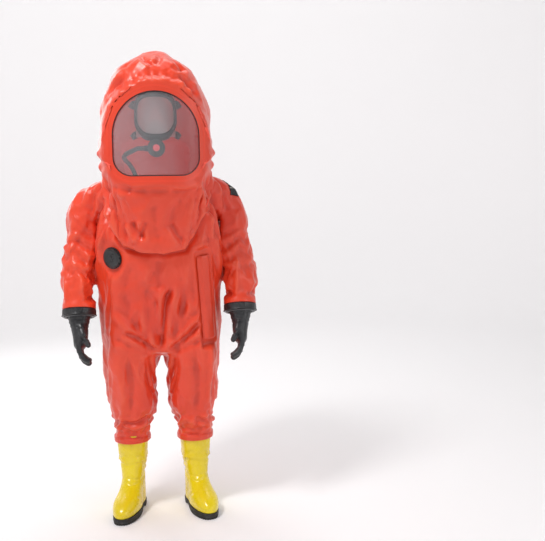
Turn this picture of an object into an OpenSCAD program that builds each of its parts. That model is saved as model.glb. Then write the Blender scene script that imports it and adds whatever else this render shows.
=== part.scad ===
// Gas-tight chemical protective suit, standing as it is worn.
// Frame: origin on the floor between the boots, +Z up, the visor faces -Y, the wearer's right side is -X.

/* [Fabric] */
// Wall of the laminated suit fabric with its lining
fabric_t = 4; // [3:0.5:5]
// Gap left between soft panels that are welded or sewn together
seam_gap = 1; // [0.6:0.2:1.5]
// Corners of the soft cross-sections: 1 is an ellipse, less is boxier
squareness = 0.77; // [0.7:0.01:1]

/* [Visor] */
// Width of the clear visor opening
visor_w = 320; // [300:2:326]
// Radius of the visor sheet, which is part of an upright cylinder
visor_r = 313; // [305:1:340]
// Width of the welded rim around the visor
rim_w = 20; // [16:1:22]

/* [Exhaust valve] */
// Radius of the valve's flange
valve_r = 43; // [38:1:46]
// Radius of the air passage through the valve
valve_bore_r = 16; // [12:1:18]

/* [Cuffs] */
// Outer radius of the glove's locking ring
glove_ring_r = 54; // [52:0.5:55]
// Height of the cuff ring
cuff_h = 30; // [26:1:34]

/* [Zip] */
// Length of the zip that the flap covers
zip_len = 330; // [280:10:340]
// Pitch of the zip's teeth
tooth_pitch = 7; // [6:0.5:9]

/* [Boots] */
// Thickness of the sole at the heel and the tread
sole_h = 26; // [22:1:28]
// Outward turn of each toe
toe_out = 14; // [8:1:18]

/* [Hidden] */

suit_red = "orangered";
boot_yellow = "gold";
black_rubber = "#202022";
ring_n = 28;       // points around a soft cross-section
smooth = 64;       // $fn of round exact parts
crotch_z = 740;
chest_z = 1160;
neck_z = 1450;
shoulder = [285, 0, 1320];
elbow = [326, -50, 1110];
wrist = [322, -116, 868];
knee = [132, 15, 470];
boot_top_z = 330;
hem_z = 296;       // lower edge of the trouser leg on the boot
forearm_lean = 16; // the forearm leans forward from upright

// A cross-section is [z, centre x, centre y, half width, half depth].
torso_sections = [
    [crotch_z, 0, -21, 250, 142],
    [chest_z, 0, -71, 250, 172],
    [1240, 0, -70, 238, 174],
    [1330, 0, -60, 228, 152],
    [1400, 0, -66, 214, 136],
    [1425, 0, -74, 196, 126],
    [neck_z, 0, -85, 160, 112]];
hood_sections = [
    [neck_z + seam_gap, 0, -95, 168, 126],
    [1472, 0, -180, 222, 186],
    [1580, 0, -182, 235, 190],
    [1690, 0, -184, 221, 189],
    [1780, 0, -184, 181, 186],
    [1830, 0, -176, 147, 174],
    [1878, 0, -158, 88, 122],
    [1906, 0, -140, 48, 68],
    [1920, 0, -125, 18, 30]];
bib_sections = [
    [1112, 0, -205, 50, 42],
    [1150, 0, -205, 120, 62],
    [1215, 0, -205, 168, 90],
    [1310, 0, -205, 190, 138],
    [1400, 0, -205, 200, 166],
    [neck_z - 2, 0, -205, 205, 168]];
hump_sections = [
    [856, 0, 236, 150, 90],
    [890, 0, 231, 195, 130],
    [1000, 0, 230, 208, 147],
    [1200, 0, 230, 213, 148],
    [1400, 0, 222, 212, 150],
    [1500, 0, 182, 206, 182],
    [1570, 0, 172, 196, 172],
    [1610, 0, 182, 178, 132],
    [1626, 0, 188, 140, 96]];
// Limbs are the wearer's left ones, on +X.
upper_sleeve_sections = [
    [1104, elbow[0], elbow[1] + 2, 61, 89],
    [1200, 315, -22, 60, 101],
    [1300, 300, -4, 56, 106],
    [1360, 284, 0, 46, 88],
    [1400, 267, 0, 29, 58],
    [1412, 260, 0, 20, 40]];
lower_sleeve_sections = [
    [868, wrist[0], wrist[1], 60, 58],
    [900, 323, -108, 65, 64],
    [1000, 327, -84, 64, 76],
    [1060, 326, -64, 59, 76],
    [1105, elbow[0], elbow[1], 54, 74],
    [1134, elbow[0], elbow[1], 52, 68]];
leg_sections = [
    [462, knee[0], 22, 101, 98],
    [530, 132, 18, 105, 103],
    [630, 134, -2, 112, 118],
    [crotch_z - seam_gap, 128, -14, 116, 132]];
shin_sections = [
    [hem_z, 133, 44, 71, 76],
    [318, 133, 44, 72, 77],
    [350, 133, 44, 75, 78],
    [400, 132, 38, 84, 82],
    [430, 131, 30, 90, 85],
    [470, knee[0], knee[1] + 3, 91, 82],
    [496, knee[0], knee[1] + 3, 88, 74]];
boot_sections = [
    [sole_h, 0, -52, 51, 143],
    [50, 0, -50, 52, 143],
    [74, 0, -39, 51, 128],
    [94, 0, -18, 48, 104],
    [120, 0, 4, 45, 80],
    [160, 0, 14, 47, 66],
    [220, 0, 14, 57, 67],
    [boot_top_z, 0, 14, 64, 69]];
ankle = [136, 30];

zip_turn = 27;     // the zip faces forward and this much to the wearer's left
zip_start = 22;    // up the zip line from the crotch
flap_w = 62;
valve_at = [-178, -196, 1090];
valve_turn = -36;
valve_lean = 6;
valve_patch_r = 47;
mask_at = [0, -172, 1614];
demand_valve_at = mask_at + [0, -88, -107];

function sgn(v) = v < 0 ? -1 : 1;
function bulge(v) = sgn(v) * pow(abs(v), squareness);
function ring(s, inset) = [for (i = [0:ring_n - 1]) let (a = 360 * (i + 0.5) / ring_n)
    [s[1] + (s[3] - inset) * bulge(cos(a)), s[2] + (s[4] - inset) * bulge(sin(a)), s[0]]];
function moved(s, dz) = [s[0] + dz, s[1], s[2], s[3], s[4]];
function last(list) = list[len(list) - 1];
// Where the front of the torso is at a given x, between the crotch and the chest
function skin_y(x, z) = let (
    share = (z - crotch_z) / (chest_z - crotch_z),
    low = torso_sections[0], high = torso_sections[1],
    half_w = low[3] + (high[3] - low[3]) * share,
    depth = low[4] + (high[4] - low[4]) * share,
    turn = acos(pow(abs(x) / half_w, 1 / squareness)))
    low[2] + (high[2] - low[2]) * share - depth * pow(sin(turn), squareness);
zip_from = [194, skin_y(194, crotch_z), crotch_z];
zip_to = [169, skin_y(169, 1100), 1100];
zip_way = (zip_to - zip_from) / norm(zip_to - zip_from);
zip_lean = asin(-zip_way[1]);
zip_side_lean = atan2(zip_way[0], zip_way[2]);

// The convex stretch between two cross-sections.
module stretch(a, b, inset) {
    flat = [for (i = [0:ring_n - 1]) i];
    hull() polyhedron(points = concat(ring(a, inset), ring(b, inset)),
        faces = [flat, [for (i = flat) 2 * ring_n - 1 - i]]);
}
module loft(sections, inset = 0) {
    for (i = [0:len(sections) - 2]) stretch(sections[i], sections[i + 1], inset);
}
// A soft tube: low and high say how far its hollow runs past each end, and a minus value closes that end.
module soft_tube(sections, t, low = 1, high = 1) {
    inner = concat([moved(sections[0], -low)],
        [for (i = [1:len(sections) - 2]) sections[i]], [moved(last(sections), high)]);
    difference() {
        loft(sections);
        loft(inner, t);
    }
}
module both_ways(side) { mirror([side > 0 ? 0 : 1, 0, 0]) children(); }
module on_forearm() {
    translate(wrist) rotate([-forearm_lean, 0, 0]) children();
}
module on_zip() {
    translate(zip_from) rotate([zip_lean, zip_side_lean, 0]) rotate([0, 0, zip_turn]) children();
}
module on_valve() {
    translate(valve_at) rotate([0, 0, valve_turn]) rotate([90 + valve_lean, 0, 0]) children();
}
module on_ankle() { translate([ankle[0], ankle[1], 0]) rotate([0, 0, toe_out]) children(); }
module washer(r_out, r_in, h) {
    difference() {
        cylinder(r = r_out, h = h, $fn = smooth);
        translate([0, 0, -1]) cylinder(r = r_in, h = h + 2, $fn = smooth);
    }
}

// Shell panels of the body
module armhole(x_from, x_to) {
    translate([x_from, shoulder[1], shoulder[2]]) rotate([0, 90, 0])
        cylinder(r = 66, h = x_to - x_from, $fn = 24);
}
module torso_shell() {
    color(suit_red) difference() {
        union() {
            difference() {
                soft_tube(torso_sections, fabric_t);
                on_valve() cylinder(r = valve_patch_r, h = 60, $fn = 32);
            }
            on_valve() translate([0, 0, -7]) cylinder(r = valve_patch_r, h = 7, $fn = 32);
        }
        armhole(-300, 300);
        translate([-150, 20, 930]) cube([300, 140, 430]);
        on_valve() cylinder(r = 21, h = 100, center = true, $fn = 32);
        on_valve() translate([0, 0, -40]) cylinder(r = 36, h = 33, $fn = 32);
    }
}
module visor_outline(grow) {
    half = visor_w / 2;
    low_r = 70;
    intersection() {
        translate([0, 1548]) circle(r = half + grow, $fn = 96);
        translate([-half - grow, 1470]) square([visor_w + 2 * grow, 300]);
    }
    translate([-half - grow, 1470]) square([visor_w + 2 * grow, 78]);
    for (side = [-1, 1]) translate([side * (half - low_r), 1470]) circle(r = low_r + grow, $fn = 48);
    translate([low_r - half, 1400 - grow]) square([visor_w - 2 * low_r, 80 + grow]);
}
module visor_prism(grow) {
    translate([0, -150, 0]) rotate([90, 0, 0]) linear_extrude(300) visor_outline(grow);
}
// A layer of the visor's curved wall, from r_in to r_out about the visor's upright axis.
module visor_layer(r_in, r_out, grow) {
    intersection() {
        translate([0, visor_r - 372, 1360]) washer(r_out, r_in, 390);
        visor_prism(grow);
    }
}
module hood_shell() {
    color(suit_red) difference() {
        soft_tube(hood_sections, fabric_t, 1, -fabric_t);
        visor_prism(rim_w + seam_gap);
        translate([-140, -330, neck_z - 20]) cube([280, 150, 60]);
    }
}
module chest_bib() {
    color(suit_red) difference() {
        soft_tube(bib_sections, fabric_t, -fabric_t, -fabric_t);
        loft(torso_sections, -seam_gap);
        translate([-140, -330, neck_z - 40]) cube([280, 130, 60]);
        on_valve() translate([0, 0, -1]) cylinder(r = valve_patch_r + 2, h = 60, $fn = 32);
        visor_prism(rim_w + seam_gap);
    }
}
module visor_lens() { color("lightcyan", 0.35) visor_layer(visor_r - 2, visor_r, 12); }
module visor_seal() {
    color(black_rubber) difference() {
        visor_layer(visor_r + 0.1, visor_r + 2, 1);
        visor_prism(-3);
    }
}
module visor_rim() {
    color(suit_red) difference() {
        visor_layer(visor_r + 0.1, visor_r + 4, rim_w);
        visor_prism(1.2);
    }
}
module hump_shell() {
    color(suit_red) difference() {
        soft_tube(hump_sections, fabric_t, -fabric_t, -fabric_t);
        loft(torso_sections, -seam_gap);
        loft(hood_sections, -seam_gap);
        translate([-146, -40, 934]) cube([292, 160, 422]);
    }
}
module hanger_loop() {
    color(black_rubber) difference() {
        translate([-11, 0, 0]) rotate([90, 0, 90]) linear_extrude(22) polygon([
            [-60, 1866], [-12, 1868], [4, 1858], [14, 1842], [17, 1824], [15, 1802], [8, 1790], [-30, 1786],
            [-30, 1790], [5, 1794], [11, 1804], [13, 1824], [10, 1841], [1, 1854], [-13, 1863], [-60, 1862]]);
        loft(hood_sections, -0.2);
    }
}
module shoulder_patch() {
    color(black_rubber) translate([313, -8, 1380]) rotate([0, 50, 0]) translate([-22, -30, 3])
        cube([44, 60, 2]);
}

// Trousers down to the knees
module leg_shell(side) {
    color(suit_red) both_ways(side) difference() {
        soft_tube(leg_sections, fabric_t);
        // The back of the knee is cut away so that the shin can fold back
        translate([0, 15, 455]) rotate([20, 0, 0]) translate([0, 0, -60]) cube([300, 200, 115]);
    }
}
module shin_shell(side) { color(suit_red) both_ways(side) soft_tube(shin_sections, fabric_t); }

// Sleeves, cuffs and gloves
module upper_sleeve(side) {
    color(suit_red) both_ways(side) difference() {
        soft_tube(upper_sleeve_sections, fabric_t, 1, -fabric_t);
        armhole(200, 300);
        // The crook of the elbow is cut away so that the forearm can fold up
        translate([200, -210, 1075]) cube([260, 160, 120]);
        translate([200, -300, 1000]) cube([40, 600, 450]);
    }
}
module lower_sleeve(side) {
    color(suit_red) both_ways(side) difference() {
        soft_tube(lower_sleeve_sections, fabric_t, 40, 1);
        on_forearm() translate([0, 0, -40]) cylinder(r = 100, h = 56, $fn = 24);
    }
}
module cuff_ring(side) {
    color(black_rubber) both_ways(side) on_forearm() rotate_extrude($fn = smooth) polygon([
        [glove_ring_r + 0.05, -14], [69, -14], [69, -9], [66, -6], [66, 12], [64, 15],
        [glove_ring_r + 0.05, 15]]);
}
module cuff_clasp(side) {
    color("silver") both_ways(side) on_forearm() rotate([0, 0, 20]) translate([66.4, -10, -5]) {
        cube([3, 20, 15]);
        translate([3, 10, 7.5]) rotate([0, 90, 0]) cylinder(r = 4, h = 2.5, $fn = 32);
    }
}
module glove_ring(side) {
    color("dimgray") both_ways(side) on_forearm() difference() {
        union() {
            translate([0, 0, -17]) cylinder(r = glove_ring_r, h = 30, $fn = smooth);
            translate([0, 0, -18]) cylinder(r = glove_ring_r + 6, h = 3, $fn = smooth);
        }
        translate([0, 0, -30]) cylinder(r = glove_ring_r - 3, h = 60, $fn = smooth);
    }
}
glove_sections = [
    [-140, 0, 3, 19, 44],
    [-118, 0, 0, 23, 47],
    [-85, 0, 0, 27, 46],
    [-50, 0, 0, 34, 42],
    [-18, 0, 0, 44, 44],
    [10, 0, 0, glove_ring_r - 8, glove_ring_r - 8]];
fingers = [[-34, -62, 10.5], [-12, -72, 11.5], [11, -70, 11.5], [33, -54, 10]];
module knuckled(from, mid, to, r) {
    hull() { translate(from) sphere(r = r, $fn = 12); translate(mid) sphere(r = r, $fn = 12); }
    hull() { translate(mid) sphere(r = r, $fn = 12); translate(to) sphere(r = r * 0.85, $fn = 12); }
}
module glove(side) {
    color(black_rubber) both_ways(side) on_forearm() {
        soft_tube(glove_sections, 2.5, -3, 1);
        for (f = fingers) knuckled([0, -f[0], -132], [-8, -f[0] * 1.02, -132 + f[1] * 0.55],
            [-24, -f[0] * 0.98, -132 + f[1]], f[2]);
        knuckled([-6, -40, -70], [-14, -60, -105], [-20, -55, -142], 11.5);
    }
}

// Boots
module boot_band(side) {
    color(suit_red) both_ways(side) difference() {
        loft([for (z = [[302, 1], [318, 1]]) [z[0], 133, 44, 75.5, 80.5]]);
        loft([for (z = [300, 320]) [z, 133, 44, 72.5, 77.5]]);
        for (k = [0:3]) translate([400, 0, 300 + k]) sphere(r = 1, $fn = 4);
        for (k = [0:6]) hull() translate([400, 0, 300 + k]) cube(0.5);
    }
}
module boot_upper(side) {
    color(boot_yellow) both_ways(side) on_ankle() soft_tube(boot_sections, fabric_t, -fabric_t, 1);
}
module boot_sole(side) {
    outline = [for (p = ring(boot_sections[0], -3)) [p[0], p[1]]];
    color(black_rubber) both_ways(side) on_ankle() difference() {
        linear_extrude(sole_h - 0.2) polygon(outline);
        translate([-80, -14, -1]) cube([160, 38, 11]);
        for (k = [0:6]) translate([-80, -176 + 23 * k, -1]) cube([160, 5, 6]);
        for (k = [0:1]) translate([-80, 44 + 20 * k, -1]) cube([160, 5, 6]);
    }
}
module insole(side) {
    outline = [for (p = ring(boot_sections[0], fabric_t + 2)) [p[0], p[1]]];
    color("slategray") both_ways(side) on_ankle() translate([0, 0, sole_h + fabric_t + 0.2])
        linear_extrude(5) polygon(outline);
}

// Zip, its slider and its cover flap, in the zip line's own frame: x across, -y outward, z up
module zip_tape() {
    color(black_rubber) on_zip() translate([-22, -3.2, zip_start]) cube([44, 2, zip_len]);
}
module zip_teeth() {
    color("goldenrod") on_zip() for (k = [0:floor(zip_len / tooth_pitch) - 1], side = [0, 1])
        translate([side ? -0.6 : -4.4, -6.4, zip_start + tooth_pitch * (k + side / 2)])
            cube([5, 3, tooth_pitch / 2 - 0.4]);
}
module zip_slider() {
    top = zip_start + zip_len - 4;
    color("silver") on_zip() {
        difference() {
            translate([-9, -10, top - 30]) cube([18, 6, 30]);
            translate([-5.2, -6.8, top - 31]) cube([10.4, 5, 32]);
        }
        translate([-3, -11.4, top - 66]) cube([6, 1.4, 62]);
    }
}
module zip_flap() {
    half = flap_w / 2;
    color(suit_red) on_zip() translate([0, 0, zip_start - 10]) linear_extrude(zip_len + 20) polygon([
        [-half, -4], [-half, -6.5], [-half + 8, -8], [-15, -15], [15, -15], [half - 8, -8], [half, -6.5],
        [half, -4], [half - 9, -5.4], [14, -12.6], [-14, -12.6], [-half + 9, -5.4]]);
}
module flap_hook_strip() {
    color(black_rubber) on_zip() translate([flap_w / 2 - 3.2, -3.7, zip_start]) cube([3, 0.8, zip_len]);
}
module flap_loop_strip() {
    color(black_rubber) on_zip() translate([flap_w / 2 - 8, -2.6, zip_start]) cube([9, 1.2, zip_len]);
}

// Exhaust valve, in its own frame: z runs out of the chest
module valve_gasket() { color("dimgray") on_valve() translate([0, 0, 1]) washer(38, 21, 1.5); }
module valve_housing() {
    color(black_rubber) on_valve() {
        difference() {
            union() {
                translate([0, 0, 2.6]) cylinder(r = valve_r, h = 4, $fn = smooth);
                translate([0, 0, -18]) cylinder(r = 20, h = 22, $fn = smooth);
                translate([0, 0, 6]) cylinder(r = valve_bore_r + 4, h = 3, $fn = smooth);
                translate([0, 0, 6]) washer(30.95, 27, 4);
            }
            translate([0, 0, -20]) cylinder(r = valve_bore_r, h = 40, $fn = smooth);
        }
        for (k = [0:2]) rotate([0, 0, 120 * k + 10]) translate([3.5, -1, 1.6]) cube([valve_bore_r - 2.6, 2, 2.8]);
        translate([0, 0, 1]) washer(4.6, 2.2, 4);
    }
}
module valve_nut() {
    color(black_rubber) on_valve() translate([0, 0, -15]) difference() {
        cylinder(r = 34, h = 7, $fn = smooth);
        translate([0, 0, -1]) cylinder(r = 20.1, h = 9, $fn = smooth);
        for (k = [0:5]) rotate([0, 0, 60 * k]) translate([31, -4, -1]) cube([6, 8, 9]);
    }
}
module valve_diaphragm() {
    color("gray") on_valve() {
        translate([0, 0, 9.1]) cylinder(r = valve_bore_r + 5, h = 1.5, $fn = smooth);
        translate([0, 0, -2]) cylinder(r = 2.14, h = 12, $fn = 32);
    }
}
module valve_cap() {
    color(black_rubber) on_valve() {
        difference() {
            rotate_extrude($fn = smooth) polygon([[0, 14], [27, 14], [31, 11], [31, 6.8], [39, 6.8],
                [40, 9], [37, 14], [29, 18], [12, 18.5], [11, 21], [0, 21]]);
            for (k = [0:11]) rotate([0, 0, 30 * k]) translate([26, -2.5, 8]) cube([20, 5, 4]);
        }
    }
}

// What carries the suit's weight on the wearer
belt = [0, -36, 172, 112];
module belt_band(z_low, z_high, grow) {
    loft([[z_low, belt[0], belt[1], belt[2] + grow, belt[3] + grow],
        [z_high, belt[0], belt[1], belt[2] + grow, belt[3] + grow]]);
}
module support_belt() {
    color(black_rubber) difference() {
        belt_band(985, 1030, 0);
        belt_band(984, 1031, -3);
        translate([-30, -200, 980]) cube([60, 90, 60]);
        for (k = [0:7]) hull() translate([400, 0, 900 + k]) cube(0.5);
    }
}
module belt_buckle() {
    color(black_rubber) translate([-29, -152, 982]) difference() {
        cube([58, 9, 51]);
        translate([6, -1, 8]) cube([12, 11, 35]);
        translate([40, -1, 8]) cube([12, 11, 35]);
    }
}
module support_braces() {
    color(black_rubber) for (side = [-1, 1]) {
        translate([side * 105 - 17, 58, 1031]) cube([34, 2.5, 330]);
        translate([side * 105 - 17, -130, 1031]) cube([34, 2.5, 330]);
        translate([side * 105 - 17, -130, 1361]) cube([34, 190.5, 2.5]);
    }
}

// Full-face mask behind the visor, about its own upright axis
module mask_wall(r_in, r_out, z_low, z_high, half_angle) {
    translate(mask_at) rotate([0, 0, -90 - half_angle]) translate([0, 0, z_low])
        rotate_extrude(angle = 2 * half_angle, $fn = smooth)
            translate([r_in, 0]) square([r_out - r_in, z_high - z_low]);
}
module mask_lens() { color("lightcyan", 0.35) mask_wall(80, 82.5, -62, 98, 66); }
module mask_rim() {
    color(black_rubber) difference() {
        mask_wall(78, 86, -72, 106, 76);
        mask_wall(79.9, 90, -62.1, 98.1, 66.2);
        mask_wall(70, 90, -56, 92, 61);
    }
}
module mask_facepiece() {
    color(black_rubber) {
        difference() {
            mask_wall(68, 77.9, -84, 106, 88);
            mask_wall(60, 90, -50, 88, 58);
        }
        mask_wall(42, 70, -88, -83, 88);
    }
}
module mask_nose_cup() {
    color(black_rubber) translate([mask_at[0], mask_at[1] - 8, mask_at[2] - 36]) rotate([90, 0, 0]) difference() {
        cylinder(r1 = 44, r2 = 26, h = 50, $fn = smooth);
        translate([0, 0, -1]) cylinder(r1 = 42, r2 = 22, h = 48, $fn = smooth);
    }
}
module mask_head_net() {
    color("#303034") translate([mask_at[0], mask_at[1] + 14, mask_at[2] + 20]) difference() {
        sphere(r = 104, $fn = smooth);
        sphere(r = 101.5, $fn = smooth);
        translate([-120, -150, -120]) cube([240, 150, 260]);
        translate([-120, -120, -160]) cube([240, 260, 90]);
    }
}
module demand_valve() {
    color(black_rubber) translate(demand_valve_at) {
        difference() {
            translate([0, 9.8, 0]) rotate([90, 0, 0]) cylinder(r = 33, h = 43.8, $fn = smooth);
            translate([0, -21, 0]) rotate([90, 0, 0]) cylinder(r = 13, h = 20, $fn = smooth);
        }
        translate([-46, -2, 0]) rotate([0, 90, 0]) cylinder(r = 11, h = 16, $fn = smooth);
    }
}
module purge_button() {
    color("crimson") translate(demand_valve_at - [0, 25.5, 0]) rotate([90, 0, 0])
        cylinder(r = 12.95, h = 13, $fn = smooth);
}
// The hose runs from the demand valve past the wearer's right shoulder to the coupling inside the hump.
hose_r = 9;
hose_sides = 8;
hose_points = [[-46.4, -262, 1507], [-70, -262, 1507], [-96, -250, 1496], [-116, -225, 1488], [-124, -190, 1481],
    [-126, -150, 1478], [-124, -105, 1474], [-122, -60, 1470], [-112, -20, 1462], [-98, 5, 1440],
    [-84, 16, 1405], [-72, 22, 1370], [-68, 34, 1340], [-68, 60, 1325], [-72, 100, 1318],
    [-80, 140, 1312], [-90, 168, 1302], [-98, 182, 1286], [-98, 182, 1270]];
function along(i) = hose_points[min(i + 1, len(hose_points) - 1)] - hose_points[max(i - 1, 0)];
function unit(v) = v / norm(v);
function hose_ring(i) = let (d = unit(along(i)), side = unit(cross(d, [0.3, 0.1, 1])), up = cross(side, d))
    [for (k = [0:hose_sides - 1]) hose_points[i]
        + hose_r * (cos(360 * k / hose_sides) * side + sin(360 * k / hose_sides) * up)];
module air_hose() {
    rings = len(hose_points);
    points = [for (i = [0:rings - 1]) each hose_ring(i)];
    walls = [for (i = [0:rings - 2], k = [0:hose_sides - 1])
        let (a = i * hose_sides + k, b = i * hose_sides + (k + 1) % hose_sides)
        each [[a, b, b + hose_sides], [a, b + hose_sides, a + hose_sides]]];
    ends = [[for (k = [hose_sides - 1:-1:0]) k], [for (k = [0:hose_sides - 1]) (rings - 1) * hose_sides + k]];
    color(black_rubber) polyhedron(points = points, faces = concat(walls, ends));
}
module hose_coupling() {
    color("goldenrod") translate([-98, 182, 1235]) {
        cylinder(r = 9, h = 34.5, $fn = smooth);
        translate([0, 0, 6]) cylinder(r = 14, h = 18, $fn = smooth);
    }
}

module sided(name, side) {
    if (name == "upper_sleeve") upper_sleeve(side);
    if (name == "lower_sleeve") lower_sleeve(side);
    if (name == "cuff_ring") cuff_ring(side);
    if (name == "cuff_clasp") cuff_clasp(side);
    if (name == "glove_ring") glove_ring(side);
    if (name == "glove") glove(side);
    if (name == "leg_shell") leg_shell(side);
    if (name == "shin_shell") shin_shell(side);
    if (name == "boot_band") boot_band(side);
    if (name == "boot_upper") boot_upper(side);
    if (name == "boot_sole") boot_sole(side);
    if (name == "insole") insole(side);
}
paired = ["upper_sleeve", "lower_sleeve", "cuff_ring", "cuff_clasp", "glove_ring", "glove", "leg_shell",
    "shin_shell", "boot_band", "boot_upper", "boot_sole", "insole"];

torso_shell();
hood_shell();
chest_bib();
visor_lens();
visor_rim();
visor_seal();
hump_shell();
hanger_loop();
shoulder_patch();
zip_tape();
zip_teeth();
flap_loop_strip();
zip_slider();
zip_flap();
flap_hook_strip();
valve_housing();
valve_gasket();
valve_nut();
valve_diaphragm();
valve_cap();
support_belt();
belt_buckle();
support_braces();
mask_facepiece();
mask_lens();
mask_rim();
mask_nose_cup();
mask_head_net();
demand_valve();
purge_button();
air_hose();
hose_coupling();
for (name = paired) {
    sided(name, -1);
    sided(name, 1);
}
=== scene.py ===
"""The looks of the chemical protective suit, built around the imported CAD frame."""
import math

import bmesh
import bpy
import numpy as np
from mathutils import Matrix, Vector, noise
from mathutils.bvhtree import BVHTree


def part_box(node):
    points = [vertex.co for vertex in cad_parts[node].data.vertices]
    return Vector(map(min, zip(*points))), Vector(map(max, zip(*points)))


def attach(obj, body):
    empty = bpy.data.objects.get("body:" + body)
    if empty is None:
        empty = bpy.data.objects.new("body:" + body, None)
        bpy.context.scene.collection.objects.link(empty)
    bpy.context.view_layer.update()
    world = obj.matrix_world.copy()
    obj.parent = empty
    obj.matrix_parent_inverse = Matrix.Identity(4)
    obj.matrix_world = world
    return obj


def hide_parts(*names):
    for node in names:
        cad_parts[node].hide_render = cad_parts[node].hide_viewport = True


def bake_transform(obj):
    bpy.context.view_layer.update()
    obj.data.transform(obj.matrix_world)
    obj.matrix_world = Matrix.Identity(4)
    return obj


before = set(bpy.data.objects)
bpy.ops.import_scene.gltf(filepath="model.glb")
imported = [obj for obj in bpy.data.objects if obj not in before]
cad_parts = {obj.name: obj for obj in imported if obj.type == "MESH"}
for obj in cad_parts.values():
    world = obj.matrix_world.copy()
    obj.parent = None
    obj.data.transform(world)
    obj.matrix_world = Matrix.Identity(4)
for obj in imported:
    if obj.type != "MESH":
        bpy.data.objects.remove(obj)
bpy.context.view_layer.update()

scene = bpy.context.scene
SIDES = (("right", -1), ("left", 1))


# ---------------------------------------------------------------- camera, light and stage

def make_camera():
    data = bpy.data.cameras.new("camera")
    data.sensor_width = 36
    data.lens = 53.9
    data.clip_start, data.clip_end = 0.05, 60
    camera = bpy.data.objects.new("camera", data)
    scene.collection.objects.link(camera)
    camera.location = (0, -3.42, 1.30)
    turn_right, tilt_down = math.radians(7.9), math.radians(4.85)
    aim = Matrix.Rotation(-turn_right, 4, "Z") @ Matrix.Rotation(math.pi / 2 - tilt_down, 4, "X")
    roll = Matrix.Rotation(math.radians(-0.9), 4, "Z")
    camera.rotation_euler = (aim @ roll).to_euler()
    scene.camera = camera


def area_light(name, place, target, size, power, colour=(1, 1, 1)):
    data = bpy.data.lights.new(name, "AREA")
    data.shape = "RECTANGLE"
    data.size, data.size_y = size
    data.energy = power
    data.color = colour
    light = bpy.data.objects.new(name, data)
    scene.collection.objects.link(light)
    light.location = place
    light.rotation_euler = (Vector(target) - Vector(place)).to_track_quat("-Z", "Y").to_euler()


def make_stage():
    """A pale floor that curves up into a backdrop all round, and soft lights."""
    bm = bmesh.new()
    steps, rings = 96, []
    profile = [(0.0, 0.0), (3.0, 0.0), (5.5, 0.0)]
    profile += [(5.5 + 1.5 * math.sin(a), 1.5 - 1.5 * math.cos(a)) for a in np.radians(np.arange(10, 91, 10))]
    profile += [(7.0, 5.0), (7.0, 9.0)]
    for radius, height in profile[1:]:
        rings.append([bm.verts.new((radius * math.cos(a), radius * math.sin(a), height))
                      for a in np.linspace(0, 2 * math.pi, steps, endpoint=False)])
    middle = bm.verts.new((0, 0, 0))
    for i in range(steps):
        j = (i + 1) % steps
        bm.faces.new((middle, rings[0][i], rings[0][j]))
        for a, b in zip(rings, rings[1:]):
            bm.faces.new((a[i], b[i], b[j], a[j]))
    mesh = bpy.data.meshes.new("floor")
    bm.to_mesh(mesh)
    bm.free()
    floor = bpy.data.objects.new("floor", mesh)
    scene.collection.objects.link(floor)
    for p in mesh.polygons:
        p.use_smooth = True
    material, shader = new_material("studio_floor")
    shader.inputs["Base Color"].default_value = (0.93, 0.92, 0.925, 1)
    shader.inputs["Roughness"].default_value = 0.85
    shader.inputs["Emission Color"].default_value = (1, 0.99, 0.995, 1)
    shader.inputs["Emission Strength"].default_value = 0.07
    mesh.materials.append(material)

    world = bpy.data.worlds.new("studio")
    world.use_nodes = True
    world.node_tree.nodes["Background"].inputs[0].default_value = (1, 0.99, 0.99, 1)
    world.node_tree.nodes["Background"].inputs[1].default_value = 0.20
    scene.world = world
    area_light("key", (-1.7, -1.9, 4.3), (0, -.05, 1.0), (.8, 1.1), 98)
    area_light("fill", (3.0, -2.6, 1.7), (0, 0, .9), (.7, 2.2), 15)
    area_light("top", (0.2, 0.6, 4.4), (0, 0, 1.0), (1.6, 1.2), 26)
    area_light("back", (-1.8, 3.4, 2.6), (0, 0, 1.2), (1.6, 2.2), 25)
    area_light("backdrop", (0, 2.6, 5.6), (0, 7.0, 1.6), (5.0, 1.6), 95)
    scene.view_settings.view_transform = "Standard"
    scene.view_settings.look = "None"


# ---------------------------------------------------------------- material kit

def new_material(name):
    material = bpy.data.materials.new(name)
    material.use_nodes = True
    return material, material.node_tree.nodes["Principled BSDF"]


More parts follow.
